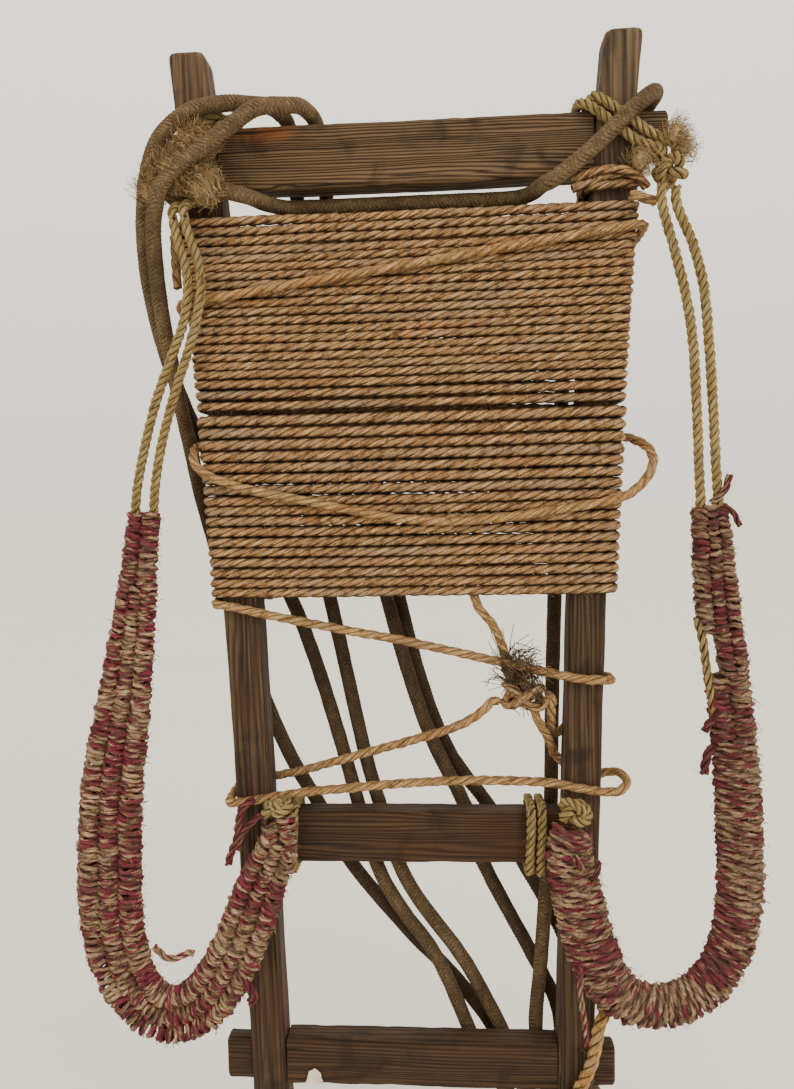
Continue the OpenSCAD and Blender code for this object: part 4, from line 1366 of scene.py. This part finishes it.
    def _knot(self) -> None:
        """Make the lump where four ends of the rope are knotted, and its frayed ends."""
        straw = self.shop.straw
        centre = (100.0, -19.0, 487.0)
        lines = [placed(knot_line((42, 25, 30), 8.4), centre, 20.0),
                 smooth([(84, -20, 497), (90, -29, 496), (98, -31, 488), (106, -30, 480),
                         (116, -26, 477), (121, -20, 483)]),
                 smooth([(82, -18, 481), (88, -27, 479), (98, -32, 486), (108, -31, 494),
                         (118, -24, 494)])]
        piece = straw.make(self.shop.laid, "straw_joining_knot", lines, 2.0)
        settle(piece, FRAME, "straw_rope", "joining_knot")
        tuft = blob("frayed_rope_end", [((90, -21, 509), (6, 5, 11)),
                                        ((97, -20, 503), (5, 4, 7))], 3.0)
        p = self.shop.palette
        tuft = self.shop.tuft.grow(tuft, {
            "Hair Density": 260000.0, "Hair Length": 13 * MM,
            "Core Material": p.dark_fibre, "Hair Material": p.dark_fibre})
        settle(tuft, FRAME, "straw_rope")


def blob(name: str, lumps: Sequence[tuple[Point, Point]], seed: float) -> bpy.types.Object:
    """Return a few uneven lumps as one closed mesh each.

    Args:
        name: The piece's name.
        lumps: Each lump's centre and half sizes.
        seed: What its unevenness starts from.

    Returns:
        The new object.
    """
    points, faces = [], []
    rings, sides = 10, 14
    for centre, half in lumps:
        first = len(points)
        for i in range(1, rings):
            a = math.pi * i / rings
            for k in range(sides):
                b = TAU * k / sides
                way = Vector((math.sin(a) * math.cos(b), math.sin(a) * math.sin(b),
                              math.cos(a)))
                grow = 1 + 0.28 * noise.noise(way * 1.8 + Vector((seed, centre[0], 0)))
                points.append([(centre[j] + way[j] * half[j] * grow) * MM
                               for j in range(3)])
        top, bottom = len(points), len(points) + 1
        points.append([(centre[0]) * MM, centre[1] * MM, (centre[2] + half[2]) * MM])
        points.append([(centre[0]) * MM, centre[1] * MM, (centre[2] - half[2]) * MM])
        for i in range(rings - 2):
            for k in range(sides):
                a, b = first + i * sides + k, first + i * sides + (k + 1) % sides
                faces.append((a, a + sides, b + sides, b))
        last = first + (rings - 2) * sides
        for k in range(sides):
            n = (k + 1) % sides
            faces.append((first + k, first + n, top))
            faces.append((last + n, last + k, bottom))
    mesh = bpy.data.meshes.new(name)
    mesh.from_pydata(points, [], faces)
    return linked(name, mesh)


class Side(Enum):
    """Which shoulder a strap goes over, and its body."""

    LEFT = LEFT
    RIGHT = RIGHT


@dataclass
class ShoulderStrap:
    """One woven strap with its two cords, its tie to the top rail and its loops."""

    shop: Workshop
    side: Side
    tilt: float
    ribs: tuple[tuple[float, float], ...]
    tie_base: Point
    tie_size: Point
    loops: tuple[float, float]
    rail_height: tuple[float, float] = (324.0, 374.0)
    plane: float = -40.0
    row: float = 2.6
    yarn: float = 2.6
    reach: float = 8.4
    bare: tuple[float, float, float] = (2.0, 2.0, 0.0)
    loose_ends: list[tuple[str, list[Point], float]] = field(default_factory=list)

    def make(self) -> None:
        """Make the strap and everything that holds it."""
        name, body = self.side.value.split("_")[0], self.side.value
        olive, laid = self.shop.olive, self.shop.laid
        self._band(name, body)
        for which in ("outer", "inner"):
            line = smooth(ROUTES[f"{name}_{which}"])
            line = np.concatenate([line, line[-1:] + (line[-1:] - line[-3:-2]) * 4.0])
            piece = olive.make(laid, f"{name}_shoulder_cord_{which}", [line])
            settle(piece, body, "olive_cord", f"{name}_cord_{which}")
        lines = [smooth(ROUTES[f"{name}_tie_a"]), smooth(ROUTES[f"{name}_tie_b"])]
        piece = olive.make(laid, f"{name}_rail_tie", lines, 1.6)
        settle(piece, FRAME, "olive_cord", f"{name}_strap_tie")
        piece = olive.make(laid, f"{name}_rail_loops", [self._loop(x) for x in self.loops])
        settle(piece, FRAME, "olive_cord", f"{name}_tie_loops")
        base, size = self.tie_base, self.tie_size
        line = placed(knot_line(size, 9.0), (0, 0, size[2] / 2))
        line = placed(line, base, self.tilt)
        piece = olive.make(laid, f"{name}_lower_knot", [line], 1.6)
        settle(piece, FRAME, "olive_cord", f"{name}_tie_knot")
        self._ends(name, body)

    def _loop(self, x: float) -> Line:
        """Return a loop round the middle rail."""
        low, high = self.rail_height
        half = (high - low) / 2
        ring = loop_round((-17, -half), (13, half), 5.4, 1.0, (0, 0))
        drift = np.sin(np.linspace(0, TAU, len(ring))) * 1.2
        return np.stack([x + drift, ring[:, 0], ring[:, 1] + (low + high) / 2], axis=1)

    def _ribs_at(self, share: float) -> float:
        """Return how many ribs the weave has at a share of its length."""
        count = self.ribs[0][1]
        for place, ribs in self.ribs:
            if share >= place:
                count = ribs
        return count

    def _band(self, name: str, body: str) -> None:
        """Weave the band from one yarn that goes back and forth."""
        route = smooth(ROUTES[f"{name}_strap"], 24)
        centre = np.stack([route[:, 0], route[:, 1]], axis=1)
        gone = np.concatenate([[0], np.cumsum(np.linalg.norm(np.diff(centre, axis=0),
                                                             axis=1))])
        whole = gone[-1]
        rows = int(whole / self.row)
        yarn: list[Point] = []
        for k in range(rows):
            sway = wave(k * 0.31, 4.0) * 1.6
            middle = (k + 0.5 + 0.55 * wave(k * 0.77, 6.0)) * self.row
            ribs = self._ribs_at(middle / whole)
            way = 1 if k % 2 else -1
            lift = 1 if k % 2 else -1
            width = np.interp(middle, gone, route[:, 2]) / 2 - self.yarn * 0.7
            width *= 1 + 0.08 * wave(k * 0.43, 1.0) + 0.09 * wave(k * 1.7, 2.0)
            steps = 8 + 6 * int(ribs)
            for i in range(steps):
                u = way * (2 * i / (steps - 1) - 1)
                slant = (self.row * (0.5 * way * u) * 0.96 + sway * u
                         + 2.0 * wave(k * 2.3, u * 4, 8.0))
                at = min(max(middle + slant, 0.0), whole)
                x, z = np.interp(at, gone, route[:, 0]), np.interp(at, gone, route[:, 1])
                ahead = min(at + 1.0, whole)
                behind = max(at - 1.0, 0.0)
                dx = np.interp(ahead, gone, route[:, 0]) - np.interp(behind, gone, route[:, 0])
                dz = np.interp(ahead, gone, route[:, 1]) - np.interp(behind, gone, route[:, 1])
                size = math.hypot(dx, dz)
                flat = math.sin(ribs * math.pi * (u + 1) / 2)
                curve = math.copysign(abs(flat) ** 0.8, flat)
                depth = lift * self.reach * curve * (1 + 0.28 * wave(k * 1.9, u * 2.0))
                side = u * width
                if self.bare[0] < middle / whole < self.bare[1]:
                    side = (0.62 * u + self.bare[2] * 0.38) * width
                yarn.append((x - dz / size * side,
                             self.plane - depth + 0.5 * wave(k * 0.7, u * 3, 5.0),
                             z + dx / size * side))
        p = self.shop.palette
        rope = LaidRope(self.yarn * 2, 2, 52.0, self.yarn * 0.88, self.yarn * 0.46,
                        p.woven, p.woven_hair, lumps=2.0, crumple=4.6,
                        hairs_per_metre=420.0, hair_length=4.6, step=2.6, sides=6)
        half = len(yarn) // 2
        for part, line in (("upper", yarn[:half + 1]), ("lower", yarn[half:])):
            piece = rope.make(self.shop.yarn, f"{name}_woven_band_{part}",
                              [np.array(line)])
            settle(piece, body, "woven_strap", f"{name}_strap_band")

    def _ends(self, name: str, body: str) -> None:
        """Make the loose ends that hang from the strap."""
        p = self.shop.palette
        for kind, route, size in self.loose_ends:
            fibre = p.rag if kind.startswith("rag") else p.woven
            if kind.startswith("bare"):
                fibre = p.olive
            rope = LaidRope(size, 3, 30.0, size * 0.22, size * 0.26, fibre, p.woven_hair,
                            lumps=1.2, hairs_per_metre=500.0, hair_length=6.0, step=2.0,
                            sides=7)
            piece = rope.make(self.shop.laid, f"{name}_{kind}", [smooth(route)])
            settle(piece, body, "woven_strap")


@dataclass
class Timber:
    """The two stiles, the three rails and the scrap of paper stuck to one."""

    shop: Workshop
    slot_gap: float = 0.7
    tenon_half: float = 9.0
    tenons: tuple[tuple[str, float, float, float, float], ...] = (
        ("top", 967.0, 1007.0, -230.8, 234.8),
        ("middle", 329.0, 369.0, -154.1, 154.1),
        ("lower", 105.0, 145.0, -189.9, 184.9))
    rails: tuple[tuple[str, float, float], ...] = (
        ("top", 951.5, 1008.5), ("middle", 324.0, 374.0), ("lower", 102.0, 148.0))

    def make(self) -> None:
        """Make the wood and the scrap of paper."""
        for name, sign in (("left", -1.0), ("right", 1.0)):
            self._stile(name, sign)
        for rail, tenon in zip(self.rails, self.tenons):
            self._rail(rail, tenon)
        self._scrap()

    def _bar(self, name: str, rings: Sequence[tuple[Point, float, float]], up: bool,
             radius: float = 4.0, rough: float = 0.7) -> bpy.types.Object:
        """Make a hewn bar through some rings.

        Args:
            name: The piece's name.
            rings: Each ring's centre, half width and half depth.
            up: Whether the bar stands up, rather than lying along X.
            radius: The radius of its worn edges.
            rough: How far its faces wander.

        Returns:
            The new object.
        """
        points, faces = [], []
        outline = self._outline()
        n = len(outline)
        for (cx, cy, cz), w, d in rings:
            r = min(radius, w * 0.9, d * 0.9)
            for sx, sy, ax, ay in outline:
                u = sx * (w - r) + r * ax
                v = sy * (d - r) + r * ay
                at = (cx + u, cy + v, cz) if up else (cx, cy + v, cz + u)
                away = (ax, ay, 0.0) if up else (0.0, ay, ax)
                slow = wave(at[0] / 46, at[1] / 46 + cz / 90, at[2] / (90 if up else 30))
                nick = wave(at[0] / 13 + 7, at[1] / 13, at[2] / 17)
                push = rough * slow - 0.35 * rough * abs(nick)
                edge = abs(ax * ay) * 2
                push -= edge * max(0.0, wave(at[0] / 21, at[2] / 21, 3.0)) * 2.2
                points.append([(at[j] + away[j] * push) * MM for j in range(3)])
        for i in range(len(rings) - 1):
            for k in range(n):
                a, b = i * n + k, i * n + (k + 1) % n
                faces.append((a, b, b + n, a + n) if up else (a, a + n, b + n, b))
        for ring, flip in ((0, up), (len(rings) - 1, not up)):
            centre = len(points)
            mine = points[ring * n:(ring + 1) * n]
            points.append([sum(p[j] for p in mine) / n for j in range(3)])
            for k in range(n):
                a, b = ring * n + k, ring * n + (k + 1) % n
                faces.append((b, a, centre) if flip else (a, b, centre))
        mesh = bpy.data.meshes.new(name)
        mesh.from_pydata(points, [], faces)
        mesh.shade_smooth()
        return linked(name, mesh)

    @staticmethod
    def _outline() -> list[tuple[float, float, float, float]]:
        """Return a rounded square's corners and outward directions, anticlockwise."""
        made = []
        for corner, (sx, sy) in enumerate(((1, 1), (-1, 1), (-1, -1), (1, -1))):
            for i in range(5):
                a = math.radians(90 * corner + 22.5 * i)
                made.append((sx, sy, math.cos(a), math.sin(a)))
            nx, ny = ((-1, 1), (-1, -1), (1, -1), (1, 1))[corner]
            a = math.radians(90 * (corner + 1))
            for t in (0.2, 0.4, 0.6, 0.8):
                made.append((sx + (nx - sx) * t, sy + (ny - sy) * t,
                             math.cos(a), math.sin(a)))
        return made

    def _stile(self, name: str, sign: float) -> None:
        """Make one stile, with its mortises cut."""
        sizes = self.shop.sizes
        half_w, half_d = sizes.stile_width / 2, sizes.stile_depth / 2
        rings = [((sign * sizes.stile_x(0), 0, 0.0), half_w - 1.5, half_d - 1.5)]
        z = 2.0
        while z < sizes.height - 12:
            rings.append(((sign * sizes.stile_x(z), 0, z), half_w - 0.4, half_d - 0.4))
            z += 7.0
        for drop, shrink in ((9.0, 0.5), (5.0, 1.0), (2.6, 2.2), (1.0, 4.4), (0.3, 7.5)):
            z = sizes.height - drop
            rings.append(((sign * sizes.stile_x(z), 0, z), half_w - shrink,
                          half_d - shrink))
        piece = self._bar(f"{name}_stile_wood", rings, True, 4.5, 0.8)
        for tenon in self.tenons:
            self._cut(piece, tenon)
        piece.data.materials.append(self.shop.palette.upright)
        settle(piece, FRAME, "wood", f"stile_{name}")

    def _cut(self, piece: bpy.types.Object,
             tenon: tuple[str, float, float, float, float]) -> None:
        """Cut a tenon's mortise out of a stile."""
        _, low, high, left, right = tenon
        gap, half = self.slot_gap, self.tenon_half
        centre = ((left + right) / 2, 0.0, (low + high) / 2)
        size = (right - left + 2, 2 * (half + gap), high - low + 2 * gap)
        points = [[(centre[j] + size[j] / 2 * s[j]) * MM for j in range(3)] for s in
                  [(x, y, z) for x in (-1, 1) for y in (-1, 1) for z in (-1, 1)]]
        faces = [(0, 1, 3, 2), (4, 6, 7, 5), (0, 4, 5, 1), (2, 3, 7, 6), (0, 2, 6, 4),
                 (1, 5, 7, 3)]
        mesh = bpy.data.meshes.new("mortise")
        mesh.from_pydata(points, [], faces)
        tool = linked("mortise", mesh)
        cut = piece.modifiers.new("mortise", "BOOLEAN")
        cut.operation, cut.object, cut.solver = "DIFFERENCE", tool, "EXACT"
        applied(piece, cut)
        bpy.data.objects.remove(tool)
        bpy.data.meshes.remove(mesh)

    def _rail(self, rail: tuple[str, float, float],
              tenon: tuple[str, float, float, float, float]) -> None:
        """Make one rail, with its tenons."""
        name, low, high = rail
        sizes = self.shop.sizes
        middle, half = (low + high) / 2, (high - low) / 2
        depth = sizes.rail_depth / 2
        end = sizes.inner(middle) - 0.15
        rings = self._lying(-end, end, middle, half - 0.4, depth - 0.4, 0.0)
        body = self._bar(f"{name}_rail_wood", rings, False, 4.0, 0.8)
        _, t_low, t_high, left, right = tenon
        rings = self._lying(left, right, (t_low + t_high) / 2, (t_high - t_low) / 2,
                            self.tenon_half, 2.4)
        peg = self._bar(f"{name}_tenon", rings, False, 2.6, 0.5)
        with bpy.context.temp_override(active_object=body,
                                       selected_editable_objects=[body, peg]):
            bpy.ops.object.join()
        finish = self.shop.palette.across if name == "top" else self.shop.palette.low_across
        body.data.materials.clear()
        body.data.materials.append(finish)
        settle(body, FRAME, "wood", f"{name}_rail")

    @staticmethod
    def _lying(x0: float, x1: float, z: float, half_w: float, half_d: float,
               worn: float) -> list[tuple[Point, float, float]]:
        """Return the rings of a bar that lies along X, with its ends worn round."""
        def end(x: float, way: float) -> list[tuple[Point, float, float]]:
            """Return the rings of one end, from the outside in."""
            return [((x + way * inset * max(worn, 0.4), 0.0, z),
                     half_w - shrink * worn, half_d - shrink * worn)
                    for inset, shrink in ((0.0, 1.0), (0.35, 0.45), (1.0, 0.0))]

        count = int((x1 - x0) / 6)
        between = [((x0 + (x1 - x0) * i / count, 0.0, z), half_w, half_d)
                   for i in range(1, count)]
        return [*end(x0, 1.0), *between, *reversed(end(x1, -1.0))]

    def _scrap(self) -> None:
        """Make the torn scrap of blank paper on the lower rail."""
        edge = [(-112, 106), (-110, 112), (-108.5, 118), (-105, 119.5), (-103, 121),
                (-100, 119), (-97, 116), (-96.5, 112), (-95, 108), (-98, 107),
                (-101, 105), (-106, 106.4)]
        cx = sum(p[0] for p in edge) / len(edge)
        cz = sum(p[1] for p in edge) / len(edge)
        points: list[Point] = []
        faces = []
        layers = []
        for y in (-14.6, -14.25):
            rings = []
            for share in (1.0, 0.72, 0.4):
                first = len(points)
                for x, z in edge:
                    lift = 0.0 if share < 1 else 0.5 + 0.7 * abs(wave(x / 4, z / 4))
                    points.append(((cx + (x - cx) * share) * MM,
                                   (y - lift - 0.15 * abs(wave(x, z))) * MM,
                                   (cz + (z - cz) * share) * MM))
                rings.append(first)
            rings.append(len(points))
            points.append((cx * MM, y * MM, cz * MM))
            layers.append(rings)
        n = len(edge)
        for number, rings in enumerate(layers):
            for k in range(n):
                m = (k + 1) % n
                for a, b in ((rings[0], rings[1]), (rings[1], rings[2])):
                    quad = (a + k, a + m, b + m, b + k)
                    faces.append(quad if number else quad[::-1])
                tri = (rings[2] + k, rings[2] + m, rings[3])
                faces.append(tri if number else tri[::-1])
        for k in range(n):
            m = (k + 1) % n
            a, b = layers[0][0], layers[1][0]
            faces.append((a + k, a + m, b + m, b + k))
        mesh = bpy.data.meshes.new("paper_scrap")
        mesh.from_pydata(points, [], faces)
        mesh.materials.append(self.shop.palette.paper)
        settle(linked("paper_scrap", mesh), FRAME, "paper", "label_scrap")


@dataclass
class Studio:
    """The floor, the light and the camera."""

    place: Point = (35.0, -768.0, 673.0)
    turn: float = 3.63
    pitch: float = -3.5
    roll: float = -1.17
    lens: float = 27.107
    sensor: float = 36.0
    pale: Colour = (0.745, 0.70, 0.60)
    paint: Colour = (0.84, 0.82, 0.78)
    air: float = 2.35

    def camera(self) -> None:
        """Make the camera."""
        data = bpy.data.cameras.new("front_camera")
        data.sensor_fit, data.sensor_height, data.lens = "VERTICAL", self.sensor, self.lens
        data.clip_start, data.clip_end = 0.01, 100.0
        made = bpy.data.objects.new("front_camera", data)
        bpy.context.scene.collection.objects.link(made)
        spin = (Matrix.Rotation(math.radians(self.turn), 4, "Z")
                @ Matrix.Rotation(math.radians(90 + self.pitch), 4, "X")
                @ Matrix.Rotation(math.radians(self.roll), 4, "Z"))
        made.matrix_world = Matrix.Translation([c * MM for c in self.place]) @ spin
        bpy.context.scene.camera = made

    def floor(self) -> None:
        """Make the plain floor and the world's pale light."""
        mesh = bpy.data.meshes.new("studio_floor")
        half, drop = 40.0, -0.0015
        mesh.from_pydata([(-half, -half, drop), (half, -half, drop), (half, half, drop),
                          (-half, half, drop)], [], [(0, 1, 2, 3)])
        mesh.materials.append(PlainFinish(
            "floor_paint", self.paint, tuple(c * 0.98 for c in self.paint), 1.5).make())
        floor = linked("studio_floor", mesh)
        world = bpy.data.worlds.new("studio_air")
        world.use_nodes = True
        air = Tree(world.node_tree)
        shade = world.node_tree.nodes["Background"]
        air.feed(shade.inputs["Color"], self.pale)
        way = air.add("ShaderNodeTexCoord", out="Generated")
        height = air.add("ShaderNodeSeparateXYZ", None, {0: way}, out="Z")
        rise = air.add("ShaderNodeMapRange", {"interpolation_type": "SMOOTHSTEP"},
                       {0: height, 1: 0.0, 2: 0.5, 3: self.air * 0.80, 4: self.air})
        air.feed(shade.inputs["Strength"], rise)
        bpy.context.scene.world = world

    def lights(self) -> None:
        """Make the soft lamps."""
        for name, at, aim, size, power, colour in (
                ("window", (1.5, -1.7, 2.0), (0.0, 0.0, 0.6), 1.1, 24.0, (1.0, 0.97, 0.92)),
                ("room", (-1.9, -1.6, 1.3), (0.0, 0.0, 0.5), 2.0, 1.5, (0.96, 0.97, 1.0)),
                ("behind", (0.6, 1.9, 1.9), (0.0, 0.0, 0.6), 1.8, 1.0, (1.0, 0.98, 0.95))):
            lamp = bpy.data.lights.new(name, "AREA")
            lamp.shape, lamp.size, lamp.energy, lamp.color = "DISK", size, power, colour
            made = bpy.data.objects.new(name, lamp)
            bpy.context.scene.collection.objects.link(made)
            made.location = at
            ray = Vector(aim) - Vector(at)
            made.rotation_euler = ray.to_track_quat("-Z", "Y").to_euler()


@dataclass
class HitchTufts:
    """The fuzz of frayed fibre where the ropes cross at the top corners."""

    shop: Workshop

    def make(self) -> None:
        """Make the tufts."""
        p = self.shop.palette
        for name, lumps, length, material in (
                ("left_hitch_fuzz", [((-186, -38, 984), (10, 7, 9)),
                                     ((-194, -39, 973), (8, 7, 8)),
                                     ((-176, -37, 987), (8, 6, 7)),
                                     ((-172, -40, 951), (7, 6, 9)),
                                     ((-179, -40, 944), (7, 6, 8)),
                                     ((-207, -40, 962), (7, 6, 9)),
                                     ((-226, -36, 946), (7, 6, 9)),
                                     ((-222, -37, 956), (6, 6, 7))], 6.5, p.fluff),
                ("right_hitch_fuzz", [((236, -27, 978), (6, 6, 8)),
                                      ((243, -26, 967), (5, 5, 7)),
                                      ((206, -24, 958), (7, 5, 9))], 5.5, p.fluff)):
            piece = self.shop.tuft.grow(blob(name, lumps, len(name)), {
                "Hair Density": 700000.0, "Hair Length": length * MM,
                "Core Material": material, "Hair Material": material})
            settle(piece, FRAME, "straw_rope")


def straps(shop: Workshop) -> list[ShoulderStrap]:
    """Return the two shoulder straps."""
    left = ShoulderStrap(
        shop, Side.LEFT, -9.07, ((0.0, 2), (0.09, 3), (0.97, 2)),
        (-126.4, -38.7, 381.2), (32, 26, 13), (-116.0, -126.0),
        loose_ends=[
            ("straw_tip", [(-262, -44, 500), (-272, -47, 497), (-280, -50, 492),
                           (-286, -50, 487)], 5.0),
            ("straw_curl", [(-246, -42, 256), (-234, -46, 248), (-222, -48, 249),
                            (-213, -47, 253), (-207, -46, 252)], 7.0),
            ("rag_tail", [(-146, -45, 398), (-156, -50, 392), (-160, -50, 378),
                          (-163, -48, 362), (-170, -46, 345), (-172, -46, 337)], 8.0),
            ("rag_flag", [(-140, -46, 384), (-150, -50, 376), (-158, -50, 366),
                          (-163, -48, 352)], 6.5),
            ("rag_nub", [(-168, -44, 236), (-160, -48, 228), (-153, -50, 219),
                         (-152, -48, 211), (-156, -46, 206)], 9.0)])
    right = ShoulderStrap(
        shop, Side.RIGHT, 9.76, ((0.0, 3), (0.16, 2), (0.30, 1)),
        (141.1, -38.7, 371.5), (34, 26, 27), (106.0, 116.0), yarn=2.75, row=2.75,
        bare=(0.155, 0.215, 1.0),
        loose_ends=[
            ("dark_plait", [(158, -32, 330), (165, -27, 302), (171, -26, 272),
                            (179, -30, 247), (191, -37, 227), (207, -43, 213),
                            (226, -46, 205)], 10.0),
            ("bare_warp", [(250, -42, 560), (255, -43, 540), (258, -44, 515),
                           (262, -44, 490), (266, -42, 470), (268, -38, 455)], 8.6),
            ("rag_tuft", [(264, -44, 470), (258, -50, 468), (254, -52, 462)], 8.0),
            ("rag_edge", [(262, -44, 446), (256, -50, 436), (254, -50, 424)], 9.0),
            ("straw_fan", [(150, -44, 330), (146, -54, 342), (140, -58, 352)], 7.0),
            ("rag_fan", [(158, -44, 322), (160, -56, 336), (162, -58, 348)], 6.0),
            ("straw_top", [(262, -42, 660), (270, -46, 668), (274, -47, 676),
                           (276, -46, 684)], 7.0),
            ("rag_top", [(262, -42, 652), (274, -50, 655), (280, -50, 648),
                         (284, -48, 640)], 6.0),
            ("straw_hang", [(148, -46, 246), (146, -50, 222), (150, -48, 196),
                            (152, -46, 172)], 6.0)])
    return [left, right]


def main() -> None:
    """Dress the frame, one sub-assembly at a time."""
    logging.basicConfig(level=logging.INFO, format="%(message)s")
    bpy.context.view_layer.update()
    studio = Studio()
    studio.camera()
    shop = Workshop.opened()
    Lashing(shop).make()
    BackWinding(shop).make()
    for strap in straps(shop):
        strap.make()
    knot = placed(knot_line((32, 36, 28), 9.0), (0, 0, 14))
    knot = placed(knot, (227.1, -33, 930.4), 9.76)
    piece = shop.olive.make(shop.laid, "right_top_knot", [knot], 2.0)
    settle(piece, FRAME, "olive_cord", "right_strap_knot")
    HitchTufts(shop).make()
    Timber(shop).make()
    studio.floor()
    studio.lights()


if __name__ == "__main__":
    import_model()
    main()
